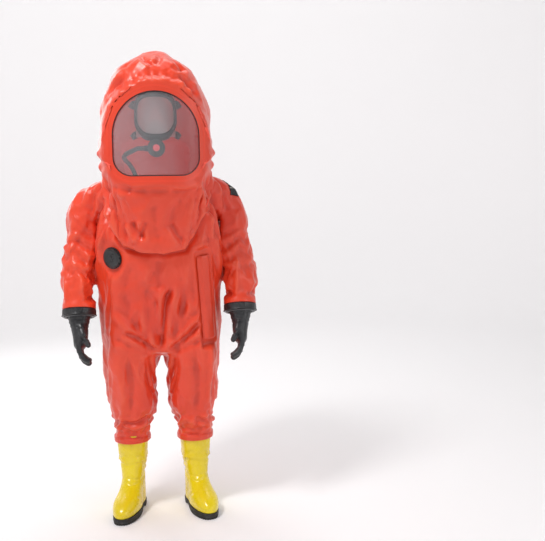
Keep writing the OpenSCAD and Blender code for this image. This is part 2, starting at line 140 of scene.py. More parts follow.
class Nodes:
    """Short names for building a material's node tree."""

    def __init__(self, material):
        self.tree = material.node_tree

    def add(self, kind, inputs=None, **settings):
        node = self.tree.nodes.new(kind)
        for key, value in settings.items():
            setattr(node, key, value)
        for key, value in (inputs or {}).items():
            if hasattr(value, "is_output"):
                self.tree.links.new(value, node.inputs[key])
            else:
                node.inputs[key].default_value = value
        return node

    def link(self, a, b):
        self.tree.links.new(a, b)

    def place(self):
        return self.add("ShaderNodeTexCoord").outputs["Object"]

    def noise(self, scale, detail=3.0, roughness=0.5, stretch=(1, 1, 1)):
        mapped = self.add("ShaderNodeMapping", {"Vector": self.place(), "Scale": stretch})
        return self.add("ShaderNodeTexNoise", {"Vector": mapped.outputs[0], "Scale": scale, "Detail": detail,
                                               "Roughness": roughness}).outputs["Fac"]

    def span(self, value, low, high, to_low=0.0, to_high=1.0):
        return self.add("ShaderNodeMapRange", {"Value": value, "From Min": low, "From Max": high,
                                               "To Min": to_low, "To Max": to_high}).outputs[0]

    def math(self, operation, a, b=0.0):
        return self.add("ShaderNodeMath", {0: a, 1: b}, operation=operation).outputs[0]

    def mix(self, share, a, b):
        node = self.add("ShaderNodeMix", data_type="RGBA")
        for index, value in ((0, share), (6, a), (7, b)):
            if hasattr(value, "is_output"):
                self.link(value, node.inputs[index])
            else:
                node.inputs[index].default_value = value
        return node.outputs[2]

    def bump(self, height, strength, distance, normal=None):
        inputs = {"Height": height, "Strength": strength, "Distance": distance}
        if normal is not None:
            inputs["Normal"] = normal
        return self.add("ShaderNodeBump", inputs).outputs[0]

    def attribute(self, name):
        return self.add("ShaderNodeAttribute", attribute_name=name).outputs["Fac"]


def suit_material():
    """Laminated fabric: satin coat over a fine weave, with welded seam tapes and slight scuffs, and painted shade in
    the valleys of its folds and painted highlight on their ridges.
    """
    material, shader = new_material("suit_fabric")
    n = Nodes(material)
    broad = n.noise(3.2, 4.0)
    fine = n.noise(42.0, 5.0, 0.6)
    colour = n.mix(n.span(broad, 0.3, 0.7), (0.74, 0.040, 0.012, 1), (0.87, 0.066, 0.020, 1))
    colour = n.mix(n.span(fine, 0.62, 0.80, 0.0, 0.14), colour, (0.95, 0.15, 0.07, 1))
    tape = n.span(n.math("ABSOLUTE", n.attribute("seam")), 0.010, 0.0085)
    colour = n.mix(n.math("MULTIPLY", tape, 0.22), colour, (0.62, 0.035, 0.012, 1))
    hollow = n.attribute("hollow")
    # painted shade: the cloth turns a darker red where it lies in the valley of a fold
    colour = n.mix(n.span(hollow, 0.10, 1.0, 0.0, 0.60), colour, (0.40, 0.014, 0.005, 1))
    # painted highlight: the cloth turns a paler red on the ridge of a fold
    colour = n.mix(n.span(hollow, -0.20, -1.0, 0.0, 0.28), colour, (0.98, 0.18, 0.085, 1))
    n.link(colour, shader.inputs["Base Color"])
    n.link(n.span(n.noise(9.0, 5.0, 0.65), 0.25, 0.75, 0.30, 0.44), shader.inputs["Roughness"])
    place = n.place()
    weave = [n.add("ShaderNodeTexWave", {"Vector": place, "Scale": 420.0, "Distortion": 0.4}, bands_direction=d
                   ).outputs["Fac"] for d in ("X", "Y", "Z")]
    cloth = n.math("MULTIPLY", n.math("ADD", weave[0], weave[1]), weave[2])
    normal = n.bump(cloth, 0.10, 0.0003)
    normal = n.bump(n.noise(70.0, 4.0, 0.6), 0.12, 0.0008, normal)
    normal = n.bump(n.noise(15.0, 3.0, 0.5), 0.16, 0.004, normal)
    normal = n.bump(tape, 0.35, 0.0006, normal)
    n.link(normal, shader.inputs["Normal"])
    shader.inputs["Specular IOR Level"].default_value = 0.46
    shader.inputs["Sheen Weight"].default_value = 0.08
    shader.inputs["Sheen Roughness"].default_value = 0.4
    shader.inputs["Coat Weight"].default_value = 0.22
    shader.inputs["Coat Roughness"].default_value = 0.28
    return material


def lining_material():
    """The fabric's inside: a plain red coat with a faint painted glow, standing in for daylight coming through it.
    """
    material, shader = new_material("suit_lining")
    n = Nodes(material)
    n.link(n.mix(n.span(n.noise(5.0, 4.0), .3, .7), (.80, .075, .045, 1), (.92, .115, .075, 1)),
           shader.inputs["Base Color"])
    n.link(n.bump(n.noise(40.0, 4.0), .15, .001), shader.inputs["Normal"])
    shader.inputs["Roughness"].default_value = .55
    # painted glow: the lining gives off a little red light of its own, so the hood's inside shows lit through the
    # visor
    shader.inputs["Emission Color"].default_value = (1.0, .085, .055, 1)
    shader.inputs["Emission Strength"].default_value = .09
    return material


# ---------------------------------------------------------------- mesh kit

def new_object(name, mesh):
    made = bpy.data.objects.new(name, mesh)
    scene.collection.objects.link(made)
    return made


def mesh_from(name, points, faces):
    mesh = bpy.data.meshes.new(name)
    mesh.from_pydata([tuple(p) for p in points], [], faces)
    mesh.update()
    return mesh


def smooth(mesh):
    mesh.polygons.foreach_set("use_smooth", [True] * len(mesh.polygons))


def coordinates(mesh):
    flat = np.empty(len(mesh.vertices) * 3, np.float32)
    mesh.vertices.foreach_get("co", flat)
    return flat.reshape(-1, 3).astype(float)


def set_coordinates(mesh, points):
    mesh.vertices.foreach_set("co", points.astype(np.float32).ravel())
    mesh.update()


def vertex_normals(mesh):
    flat = np.empty(len(mesh.vertices) * 3, np.float32)
    mesh.vertex_normals.foreach_get("vector", flat)
    return flat.reshape(-1, 3).astype(float)


def superellipse(turns, power):
    c, s = np.cos(turns), np.sin(turns)
    return np.sign(c) * np.abs(c) ** power, np.sign(s) * np.abs(s) ** power


def loft(sections, power=0.77, count=64, along="z"):
    """A closed mesh through cross-sections [place, centre, centre, half size, half size]."""
    a = (np.arange(count) + 0.5) * 2 * math.pi / count
    u, v = superellipse(a, power)
    rows = []
    for place, c1, c2, r1, r2 in sections:
        first, second, third = c1 + r1 * u, c2 + r2 * v, np.full(count, place)
        columns = (first, second, third) if along == "z" else (third, first, second)
        rows.append(np.stack(columns, 1))
    points = np.concatenate(rows)
    faces = [list(range(count))[::-1], [len(points) - count + i for i in range(count)]]
    for r in range(len(rows) - 1):
        for i in range(count):
            j = (i + 1) % count
            faces.append([r * count + i, r * count + j, (r + 1) * count + j, (r + 1) * count + i])
    return points, faces


def smoother(sections, steps=6):
    """The same cross-sections with a smooth curve's worth more between them."""
    s = np.array(sections, float)
    rows = []
    for i in range(len(s) - 1):
        before, a, b, after = s[max(i - 1, 0)], s[i], s[i + 1], s[min(i + 2, len(s) - 1)]
        reach = b[0] - a[0]
        slope_a = (b - before) / (b[0] - before[0]) * reach
        slope_b = (after - a) / (after[0] - a[0]) * reach
        for t in np.linspace(0, 1, steps, endpoint=False):
            rows.append((2 * t ** 3 - 3 * t ** 2 + 1) * a + (t ** 3 - 2 * t ** 2 + t) * slope_a
                        + (3 * t ** 2 - 2 * t ** 3) * b + (t ** 3 - t ** 2) * slope_b)
    rows.append(s[-1])
    return rows


def joined(parts):
    points, faces, shift = [], [], 0
    for p, f in parts:
        points.append(p)
        faces += [[i + shift for i in face] for face in f]
        shift += len(p)
    return np.concatenate(points), faces


def mirrored(part):
    points, faces = part
    return points * (-1, 1, 1), [face[::-1] for face in faces]


def blur(mesh, values, rounds, share=0.5):
    """Values at the vertices, or their places, averaged with their neighbours'."""
    edges = np.empty(len(mesh.edges) * 2, np.int32)
    mesh.edges.foreach_get("vertices", edges)
    edges = edges.reshape(-1, 2)
    count = np.bincount(edges.ravel(), minlength=len(mesh.vertices)).clip(1)
    values = np.array(values, float)
    shape = (-1,) + (1,) * (values.ndim - 1)
    for _ in range(rounds):
        total = np.zeros_like(values)
        np.add.at(total, edges[:, 0], values[edges[:, 1]])
        np.add.at(total, edges[:, 1], values[edges[:, 0]])
        values = values * (1 - share) + share * total / count.reshape(shape)
    return values


def ramp(x, low, high):
    t = np.clip((x - low) / (high - low), 0, 1)
    return t * t * (3 - 2 * t)


# ---------------------------------------------------------------- the suit's skin

TORSO = [
    [.70, 0, -.018, .205, .125], [.74, 0, -.021, .243, .142], [.80, 0, -.028, .250, .148],
    [.95, 0, -.046, .252, .159], [1.16, 0, -.071, .250, .173], [1.24, 0, -.070, .240, .174],
    [1.33, 0, -.062, .228, .156], [1.40, 0, -.068, .210, .138], [1.45, 0, -.085, .182, .126],
    [1.50, 0, -.11, .165, .120]]
HOOD = [
    [1.43, 0, -.185, .196, .150], [1.47, 0, -.182, .222, .182], [1.52, 0, -.182, .231, .189],
    [1.58, 0, -.182, .235, .190], [1.64, 0, -.182, .230, .190], [1.69, 0, -.184, .221, .189],
    [1.735, 0, -.185, .204, .188], [1.78, 0, -.184, .181, .186], [1.83, 0, -.176, .148, .174],
    [1.852, 0, -.170, .120, .158], [1.880, 0, -.158, .080, .120], [1.902, 0, -.142, .048, .070],
    [1.914, 0, -.125, .022, .035]]
BIB = [
    [1.104, 0, -.200, .050, .045], [1.13, 0, -.205, .105, .062], [1.17, 0, -.205, .145, .078],
    [1.215, 0, -.205, .170, .094], [1.31, 0, -.205, .190, .138], [1.40, 0, -.205, .200, .166],
    [1.46, 0, -.200, .205, .168]]
HUMP = [
    [.850, 0, .236, .165, .105], [.865, 0, .232, .190, .128], [.90, 0, .230, .202, .143],
    [1.0, 0, .230, .210, .148], [1.2, 0, .230, .215, .149], [1.4, 0, .222, .213, .150],
    [1.5, 0, .178, .207, .184], [1.565, 0, .165, .197, .178], [1.598, 0, .178, .184, .146],
    [1.618, 0, .185, .165, .120]]
YOKE = [  # along x: centre y, centre z, half sizes
    [.08, -.055, 1.360, .118, .088], [.15, -.045, 1.352, .116, .088], [.20, -.035, 1.345, .114, .088],
    [.25, -.020, 1.335, .106, .085], [.29, -.008, 1.312, .098, .082], [.325, -.004, 1.268, .080, .062]]
SLEEVE = [
    [1.392, .272, -.002, .030, .060], [1.372, .282, -.002, .042, .080], [1.345, .294, -.003, .050, .094],
    [1.30, .310, -.004, .056, .106], [1.25, .323, -.014, .060, .106], [1.20, .328, -.022, .061, .102],
    [1.13, .334, -.042, .064, .092], [1.06, .339, -.064, .065, .082], [1.00, .340, -.084, .067, .076],
    [.93, .339, -.100, .067, .068], [.895, .338, -.109, .066, .064], [.868, .338, -.116, .064, .062]]
LEG = [
    [.83, .112, -.030, .108, .128], [.76, .120, -.018, .118, .138], [.70, .128, -.010, .119, .134],
    [.63, .134, -.002, .114, .120], [.53, .132, .018, .106, .105], [.466, .131, .024, .100, .095],
    [.41, .132, .036, .087, .086], [.378, .133, .040, .083, .083], [.345, .133, .045, .077, .078],
    [.312, .133, .045, .073, .076], [.288, .133, .045, .071, .075]]
WRIST = Vector((.322, -.116, .868))
FOREARM = Vector((0, -math.sin(math.radians(16)), -math.cos(math.radians(16))))  # towards the hand
VISOR_AXIS_Y = -.059
VISOR_R = .3175  # the skin lies this far from the visor's axis, just over the rim
SHOULDER_FROM, SHOULDER_TO = .232, .258  # where the shoulder's cloth starts and ends its turn
CLOTH_FRAMES = 24
CLOTH_REACH = .030  # the furthest that the cloth may hang away from its first shape
FOLD_STRENGTH = 1.35
ARM_X = .2575  # further out than this, below the shoulder, everything is arm
VOXEL = .0100


def visor_distance(x, z):
    """How far a point is outside the visor's outline, which is negative inside it."""
    x = np.abs(x)
    upper = np.hypot(x, z - 1.548) - .160
    side = x - .160
    corner = np.hypot(x - .090, z - 1.470) - .070
    below = 1.400 - z
    lower = np.where(z > 1.470, side, np.where(x > .090, corner, below))
    return np.where(z > 1.548, upper, lower)


def base_skin():
    """The whole suit's skin as one even mesh, before its cloth is let loose."""
    side = [loft(smoother(YOKE), along="x"), loft(smoother(SLEEVE)), loft(smoother(LEG))]
    parts = [loft(smoother(TORSO)), loft(smoother(HOOD), 0.8), loft(smoother(BIB), 0.8),
             loft(smoother(HUMP), 0.55)]
    for part in side:
        parts += [part, mirrored(part)]
    points, faces = joined(parts)
    skin = new_object("skin", mesh_from("skin", points, faces))
    modifier = skin.modifiers.new("remesh", "REMESH")
    modifier.mode = "VOXEL"
    modifier.voxel_size = VOXEL
    apply_modifiers(skin)
    points = blur(skin.data, coordinates(skin.data), 4)
    below_armpit = points[:, 2] < 1.40
    arm = ((np.abs(points[:, 0]) > ARM_X) & below_armpit).astype(float)
    tuck = .016 * (1 - ramp(points[:, 2], 1.20, 1.33)) * arm  # the arms hang against the body
    points[:, 0] -= np.sign(points[:, 0]) * tuck
    set_coordinates(skin.data, points)
    skin.data.attributes.new("arm", "FLOAT", "POINT").data.foreach_set("value", arm.astype(np.float32))
    return skin


def apply_modifiers(obj):
    depsgraph = bpy.context.evaluated_depsgraph_get()
    mesh = bpy.data.meshes.new_from_object(obj.evaluated_get(depsgraph))
    old = obj.data
    obj.modifiers.clear()
    obj.data = mesh
    bpy.data.meshes.remove(old)


def excess(points):
    """Where each point of the cloth would lie if the suit hung at its full cut length, before it bunches."""
    x, y, z = points.T
    out = points.copy()
    leg = (z < .80) & (np.abs(x) < .262)
    depth = np.clip(.80 - z, 0, None)
    drop = .07 * depth + .30 * np.clip(np.clip(.50 - z, 0, None), 0, .2) + .10 * np.clip(.60 - z, 0, .10)
    out[:, 2] -= np.where(leg, drop, 0)
    centre = np.where(x > 0, .132, -.132)
    grow = np.where(leg, .04, 0)
    out[:, 0] += grow * (x - centre)
    arm = (np.abs(x) > .262) & (z < 1.42)
    out[:, 2] -= np.where(arm, .09 * np.clip(1.38 - z, 0, None), 0)
    trunk = ~leg & ~arm
    out[:, 2] += np.where(trunk, .035 * (z - 1.1), 0)
    out[:, 0] += np.where(trunk, .03 * x, 0)
    out[:, 1] += np.where(trunk, .03 * y, 0)
    return out


def hold(points):
    """How firmly each point of the cloth is held in place, from 0 to 1."""
    x, y, z = points.T
    held = np.full(len(points), .012)
    visor = visor_distance(x, z)
    front = y < -.25
    held = np.where(front, np.maximum(held, 1 - ramp(visor, .024, .045)), held)
    held = np.maximum(held, np.where(z < .80, 1 - ramp(z, .292, .312), 0))
    along = (points - np.array(WRIST)) @ np.array(FOREARM)
    held = np.maximum(held, np.where(np.abs(x) > .262, ramp(along, -.020, .0), 0))
    return held


def let_loose(skin, frames):
    """Runs the cloth and leaves its result on the mesh."""
    points = coordinates(skin.data)
    skin.shape_key_add(name="worn")
    cut = skin.shape_key_add(name="cut")
    cut.data.foreach_set("co", excess(points).astype(np.float32).ravel())
    cut.value = 0
    group = skin.vertex_groups.new(name="held")
    for index, value in enumerate(hold(points)):
        group.add([index], float(value), "REPLACE")
    cloth = skin.modifiers.new("cloth", "CLOTH")
    c = cloth.settings
    c.vertex_group_mass = "held"
    c.pin_stiffness = 1.0
    c.rest_shape_key = cut
    c.quality = 5
    c.mass = .10
    c.tension_stiffness = c.compression_stiffness = 22
    c.shear_stiffness = 9
    c.bending_stiffness = .25
    c.tension_damping = c.compression_damping = c.shear_damping = 4
    c.air_damping = 2
    c.use_pressure = True
    c.uniform_pressure_force = .35
    c.effector_weights.gravity = .25
    cloth.collision_settings.use_collision = False
    cloth.point_cache.frame_start = 1
    cloth.point_cache.frame_end = frames
    for f in range(1, frames + 1):
        scene.frame_set(f)
    depsgraph = bpy.context.evaluated_depsgraph_get()
    mesh = bpy.data.meshes.new_from_object(skin.evaluated_get(depsgraph))
    old = skin.data
    skin.modifiers.clear()
    skin.shape_key_clear()
    skin.data = mesh
    bpy.data.meshes.remove(old)
    scene.frame_set(1)
    moved = coordinates(mesh) - points
    reach = np.linalg.norm(moved, axis=1, keepdims=True)
    moved *= CLOTH_REACH * np.tanh(reach / CLOTH_REACH) / np.maximum(reach, 1e-9)
    set_coordinates(mesh, points + moved)


# ---------------------------------------------------------------- folds

def field(points, scale, seed=0.0, octaves=1):
    """Smooth noise from -1 to 1 at each point; scale is its fineness along x, y and z."""
    scaled = points * np.array(scale) + seed
    if octaves == 1:
        return np.array([noise.noise(p) for p in scaled.tolist()])
    return np.array([noise.fractal(p, 0.6, 2.1, octaves) for p in scaled.tolist()])


def ridges(values, sharp=2.0):
    """Narrow crests, from 0 to 1, along the places where smooth noise passes through nought."""
    return np.clip(1 - np.abs(values) * 2.2, 0, 1) ** sharp


def distance_along(flat, path):
    """For points on a plane: the signed distance to a bent line, and how far along the line they are, 0 to 1."""
    path = np.array(path, float)
    lengths = np.linalg.norm(np.diff(path, axis=0), axis=1)
    best = np.full(len(flat), 1e9)
    signed, share = np.zeros(len(flat)), np.zeros(len(flat))
    done = 0.0
    for a, b, length in zip(path, path[1:], lengths):
        way = (b - a) / length
        offset = flat - a
        t = np.clip(offset @ way, 0, length)
        distance = np.linalg.norm(offset - t[:, None] * way, axis=1)
        nearer = distance < best
        cross = offset[:, 0] * way[1] - offset[:, 1] * way[0]
        best = np.where(nearer, distance, best)
        signed = np.where(nearer, np.where(cross < 0, -distance, distance), signed)
        share = np.where(nearer, (done + t) / lengths.sum(), share)
        done += length
    return signed, share


VIEWS = {"front": ((0, 2), (0, -1, 0)), "back": ((0, 2), (0, 1, 0)),
         "left": ((1, 2), (1, 0, 0)), "right": ((1, 2), (-1, 0, 0)), "top": ((0, 1), (0, 0, 1))}


def crease(points, normals, view, path, width, depth, lip=.55, ends=(.18, .18)):
    """Heights of a fold drawn as a line in one view: a valley (or with a minus depth a ridge) and its lip."""
    axes, towards = VIEWS[view]
    signed, share = distance_along(points[:, axes], path)
    taper = ramp(share, 0, ends[0]) if ends[0] else 1.0
    taper = taper * (1 - ramp(share, 1 - ends[1], 1) if ends[1] else 1.0)
    near = np.exp(-(signed / width) ** 2)
    beside = np.exp(-((signed - 1.9 * width) / (1.3 * width)) ** 2)
    facing = ramp(normals @ np.array(towards, float), .20, .60)
    return depth * (lip * beside - near) * np.maximum(taper, 0.0) * facing


# In each view the numbers are metres in the suit's own frame: (x, z) from the front and (y, z) from the sides.
FRONT_FOLDS = [  # path, width, depth
    # the overhanging bib's lower edge, and what hangs over it
    ([(-.100, 1.236), (-.084, 1.200), (-.060, 1.160)], .011, .011),
    ([(-.046, 1.238), (-.060, 1.195), (-.060, 1.160)], .010, .008),
    ([(-.178, 1.300), (-.140, 1.225), (-.112, 1.160)], .013, .008),
    ([(.048, 1.222), (.072, 1.180), (.092, 1.148)], .013, .008),
    ([(.168, 1.310), (.150, 1.240), (.122, 1.176)], .014, .009),
    ([(-.020, 1.300), (-.010, 1.220), (-.004, 1.150)], .024, .006),
    ([(.100, 1.320), (.060, 1.260), (.030, 1.180)], .018, .006),
    # the crotch, from which everything radiates
    ([(.050, .975), (.028, .930), (.018, .888), (.011, .822), (.000, .700)], .014, .017),
    ([(-.020, .935), (-.015, .850), (-.014, .772), (-.004, .700)], .014, .012),
    ([(-.070, 1.010), (-.052, .920), (-.030, .800), (-.010, .715)], .020, .009),
    ([(.110, 1.000), (.092, .900), (.055, .790), (.012, .715)], .018, .009),
    ([(-.150, .960), (-.120, .870), (-.080, .790)], .020, .007),
    ([(.000, 1.090), (-.010, 1.020), (.004, .950)], .020, .006),
    ([(-.110, 1.080), (-.120, .980), (-.095, .880)], .024, .006),
    ([(.130, 1.090), (.128, .980), (.135, .880)], .016, .006),
    ([(-.150, .800), (-.080, .750), (-.020, .700)], .015, .014),
    ([(.170, .830), (.105, .765), (.030, .700)], .015, .014),
    ([(.190, .900), (.110, .830), (.040, .740)], .016, .006),
    ([(-.180, .900), (-.110, .820), (-.040, .740)], .016, .007),
    ([(.190, .760), (.120, .730), (.040, .690)], .014, .006),
    ([(-.190, .770), (-.120, .735), (-.040, .690)], .014, .006),
    # small marks on the body panel
    ([(-.022, 1.040), (-.034, 1.010), (-.045, .985)], .010, .003),
    ([(-.028, .985), (-.045, .962), (-.055, .945)], .010, .003),
    ([(.190, 1.180), (.176, 1.080), (.178, 1.000)], .014, .004),
    ([(-.190, 1.040), (-.150, 1.075), (-.120, 1.080)], .014, .003),
    # the right leg and what bunches above its boot
    ([(-.200, .362), (-.160, .350), (-.110, .346), (-.045, .376)], .010, .010),
    ([(-.200, .330), (-.130, .324), (-.070, .336)], .006, .006),
    ([(-.184, .382), (-.155, .364), (-.128, .345)], .008, .012),
    ([(-.150, .388), (-.100, .400), (-.052, .424)], .010, .009),
    ([(-.195, .400), (-.175, .393), (-.140, .396)], .009, .006),
    # the left leg
    ([(.060, .362), (.118, .346), (.190, .358)], .008, .011),
    ([(.146, .412), (.137, .375), (.130, .340)], .010, .009),
    ([(-.150, .690), (-.120, .560), (-.140, .440)], .022, .006),
    ([(.120, .700), (.150, .560), (.140, .430)], .020, .006),
    ([(.200, .400), (.180, .388), (.150, .384)], .010, .006),
    # the hood round the visor
    ([(.085, 1.776), (.130, 1.728), (.160, 1.672), (.205, 1.615)], .010, .012),
    ([(.165, 1.770), (.186, 1.700), (.212, 1.640)], .011, .007),
    ([(-.095, 1.776), (-.150, 1.735), (-.195, 1.690), (-.225, 1.610)], .010, .010),
    ([(-.150, 1.760), (-.196, 1.712), (-.228, 1.650)], .011, .007),
    ([(-.232, 1.560), (-.215, 1.480), (-.175, 1.415)], .009, .008),
    ([(.230, 1.560), (.212, 1.480), (.178, 1.425)], .009, .006),
    ([(.055, 1.372), (.105, 1.374), (.168, 1.390)], .008, .014),
    ([(-.145, 1.396), (-.120, 1.366), (-.095, 1.338)], .011, .006),
    ([(-.160, 1.372), (-.100, 1.352), (-.030, 1.348)], .012, .004),
    ([(-.046, 1.850), (-.034, 1.826), (-.006, 1.806)], .009, .010),
    ([(.030, 1.880), (.022, 1.840), (.004, 1.806)], .011, .006),
    ([(-.040, 1.880), (-.085, 1.840), (-.120, 1.795)], .013, .006),
    ([(.045, 1.880), (.085, 1.838), (.122, 1.780)], .013, .007),
    ([(.060, 1.806), (.085, 1.790), (.115, 1.800)], .010, .005),
    # the raglan folds from neck to armpit, and the shoulders
    ([(-.175, 1.375), (-.205, 1.300), (-.235, 1.215)], .014, .010),
    ([(.178, 1.385), (.205, 1.300), (.238, 1.215)], .014, .012),
    ([(-.205, 1.400), (-.250, 1.330), (-.262, 1.240)], .012, .008),
    ([(.215, 1.330), (.225, 1.250), (.222, 1.140)], .011, .008),
    ([(-.205, 1.250), (-.215, 1.190), (-.205, 1.120)], .012, .007),
]
SIDE_FOLDS = [  # both sides; path, width, depth
    # from the neck to the chin and down the bib
    ([(-.130, 1.542), (-.200, 1.488), (-.290, 1.440), (-.362, 1.421)], .012, .016),
    ([(-.028, 1.560), (-.080, 1.556), (-.133, 1.538)], .009, .009),
    ([(-.133, 1.535), (-.148, 1.470), (-.140, 1.400)], .009, .008),
    ([(-.270, 1.360), (-.285, 1.310), (-.270, 1.260)], .013, .005),
    # the chest below the bib
    ([(-.165, 1.330), (-.205, 1.290), (-.225, 1.240)], .010, .006),
    ([(-.120, 1.400), (-.135, 1.320), (-.120, 1.240)], .010, .008),
    # the hump
    ([(.113, 1.552), (.180, 1.528), (.257, 1.480), (.318, 1.435)], .011, .014),
    ([(.190, 1.330), (.205, 1.290), (.180, 1.255)], .008, .009),
    ([(.215, 1.300), (.235, 1.270), (.210, 1.240)], .008, .007),
    ([(.150, 1.400), (.165, 1.340), (.155, 1.280)], .009, .008),
    ([(.171, .960), (.225, .995), (.278, 1.032)], .009, .009),
    ([(.171, .960), (.260, .990), (.352, 1.019)], .012, .006),
    ([(.171, .955), (.100, 1.000), (.018, 1.061)], .010, .009),
    ([(.165, 1.030), (.110, 1.075), (.055, 1.150)], .010, .010),
    ([(.331, .936), (.250, .944), (.175, .952)], .009, .008),
    ([(.150, .965), (.110, .950), (.060, .948)], .009, .007),
    ([(.320, .905), (.280, .895), (.230, .900)], .008, .006),
    ([(.330, 1.540), (.310, 1.520), (.300, 1.490)], .009, .006),
    # behind and beside the knee
    ([(.100, .455), (.050, .440), (-.010, .452)], .013, .006),
    ([(.110, .505), (.060, .520), (.010, .505)], .014, .005),
    ([(-.050, .400), (.010, .386), (.070, .392)], .012, .006),
    ([(.100, .366), (.050, .354), (-.010, .360)], .011, .005),
    # where the seat meets the legs
    ([(.080, .800), (.030, .780), (-.030, .790)], .012, .007),
    ([(.085, .850), (.040, .820), (.000, .830)], .012, .006),
]
BACK_FOLDS = [
    ([(-.120, .800), (-.060, .760), (-.010, .730)], .012, .010),
    ([(.120, .800), (.060, .760), (.010, .730)], .012, .010),
    ([(-.200, 1.520), (-.100, 1.500), (.020, 1.520)], .014, .006),
    ([(-.205, .930), (-.100, .905), (.060, .915)], .012, .007),
    ([(.205, .940), (.120, .960), (.020, .950)], .012, .006),
    ([(-.180, .450), (-.130, .435), (-.080, .448)], .010, .012),
    ([(.180, .455), (.130, .438), (.080, .450)], .010, .012),
    ([(-.190, .380), (-.130, .368), (-.070, .384)], .009, .012),
    ([(.190, .378), (.130, .370), (.070, .380)], .009, .012),
]
BIB_EDGE = [(-.2335, 1.350), (-.2085, 1.267), (-.181, 1.2145), (-.140, 1.136), (-.067, 1.112), (.017, 1.102),
            (.100, 1.118), (.152, 1.194), (.194, 1.2875), (.215, 1.392)]
NECK, CHIN, POCKET_FOOT, POCKET_EDGE = (-.140, 1.532), (-.255, 1.392), (-.252, 1.250), (-.192, 1.320)
ZIP_FROM, ZIP_TO, ZIP_TURN = Vector((.194, -.12826, .740)), Vector((.169, -.20495, 1.100)), math.radians(27)


def zip_frame():
    """The zip line's own frame: x across it, -y out of the suit, z up the line."""
    way = (ZIP_TO - ZIP_FROM).normalized()
    lean, side_lean = math.asin(-way.y), math.atan2(way.x, way.z)
    turn = Matrix.Rotation(side_lean, 4, "Y") @ Matrix.Rotation(lean, 4, "X") @ Matrix.Rotation(ZIP_TURN, 4, "Z")
    return Matrix.Translation(ZIP_FROM) @ turn


def in_frame(matrix, points):
    m = np.array(matrix.inverted())
    return points @ m[:3, :3].T + m[:3, 3]


def out_of_frame(matrix, points):
    m = np.array(matrix)
    return points @ m[:3, :3].T + m[:3, 3]


def bunching(points, on_arm):
    """Folds that run round the trouser legs above the boots and behind the knees, and round the elbows."""
    x, y, z = points.T
    centre = np.where(x > 0, .132, -.132)
    leg = on_arm < .5
    turn = np.arctan2(y - .03, x - centre)
    drift = field(np.stack((np.cos(turn), np.sin(turn), z * 6 + np.sign(x) * 3), 1), (1.1, 1.1, 1.0), 4.0)
    rings = np.sin(z * 2 * math.pi / .044 + 5.0 * drift + np.sin(turn) * .9)
    low = ramp(z, .312, .345) * (1 - ramp(z, .380, .450))
    behind = ramp(y, .02, .08) * ramp(z, .36, .42) * (1 - ramp(z, .52, .60))
    height = np.where(leg & (z < .66), rings * (.0034 * low + .0036 * behind), 0)
    arm = (on_arm > .5) & (z < 1.22)
    turn = np.arctan2(y + .06, np.abs(x) - .325)
    drift = field(np.stack((np.cos(turn), np.sin(turn), z * 5), 1), (1.2, 1.2, 1.0), 9.0)
    wave = np.sin((z - .5 * y) * 2 * math.pi / .055 + 4.5 * drift)
    crook = ramp(-y, .02, .09) * ramp(z, 1.00, 1.06) * (1 - ramp(z, 1.15, 1.22))
    wrist = ramp(z, .885, .90) * (1 - ramp(z, .92, .98))
    return height + np.where(arm, wave * (.0030 * crook + .0022 * wrist), 0)


def hanging(points, on_arm):
    """Long folds that hang down the sleeves, trouser legs and body sides, and the fabric's own crumple."""
    x, y, z = points.T
    along = ridges(field(points, (13, 13, 2.6), 2.0), 1.6) - .35
    arm = np.where(on_arm > .5, ramp(z, .88, .98) * (1 - ramp(z, 1.34, 1.42)), 0)
    side = ramp(np.abs(x), .16, .24) * ramp(z, .80, .90) * (1 - ramp(z, 1.15, 1.3)) * (y < .08)
    leg = (1 - ramp(z, .66, .74)) * ramp(z, .40, .50) * (on_arm < .5)
    long_folds = along * (.0060 * arm + .0038 * side + .0042 * leg)
    broad = field(points, (6, 6, 5), 11.0) * .0065
    crumple = (ridges(field(points, (9, 9, 6), 5.0, 2), 2.0) - .3) * .0024
    fine = (ridges(field(points, (24, 24, 18), 8.0, 2), 2.0) - .3) * .0007
    return long_folds + broad + crumple + fine


def pucker(points):
    """Short gathers that run out from the welded rim of the visor."""
    x, y, z = points.T
    away = visor_distance(x, z)
    turn = np.arctan2(z - 1.548, x)
    drift = field(points, (9, 9, 9), 3.0)
    wave = np.sin(turn * 23 + 6 * drift) * .5 + np.sin(turn * 37 - 4 * drift) * .5
    front = ramp(-y, .20, .27)
    band = ramp(away, .018, .028) * (1 - ramp(away, .045, .095))
    return front * band * wave * .0028 * ramp(z, 1.40, 1.47)


def overhang(points, normals):
    """The hood's bib hangs over the body in a wide smile: swollen above its edge and tucked in below it."""
    signed, share = distance_along(points[:, (0, 2)], BIB_EDGE)
    above = -signed
    ends = ramp(share, 0, .14) * (1 - ramp(share, .86, 1)) * ramp(-normals[:, 1], .05, .4) * (points[:, 1] < -.1)
    swell = ramp(above, -.004, .012) * (1 - ramp(above, .012, .085))
    tuck = np.exp(-((above + .007) / .011) ** 2) + .45 * ramp(above, -.075, -.010) * (1 - ramp(above, -.010, .002))
    return ends * (.0085 * swell - .0125 * tuck)


def pocket(points):
    """The deep hollow on each side between the neck, the chin and the foot of the bib."""
    x = points[:, 0]
    corners = [np.array(c) for c in (NECK, CHIN, POCKET_FOOT, POCKET_EDGE)]
    inside = np.full(len(points), 1e9)
    flat = points[:, 1:]
    for a, b in zip(corners, corners[1:] + corners[:1]):
        way = (b - a) / np.linalg.norm(b - a)
        offset = flat - a
        inside = np.minimum(inside, -(offset[:, 0] * way[1] - offset[:, 1] * way[0]))
    share = ramp(inside, -.010, .026) * ramp(np.abs(x), .09, .14)
    return share * .034


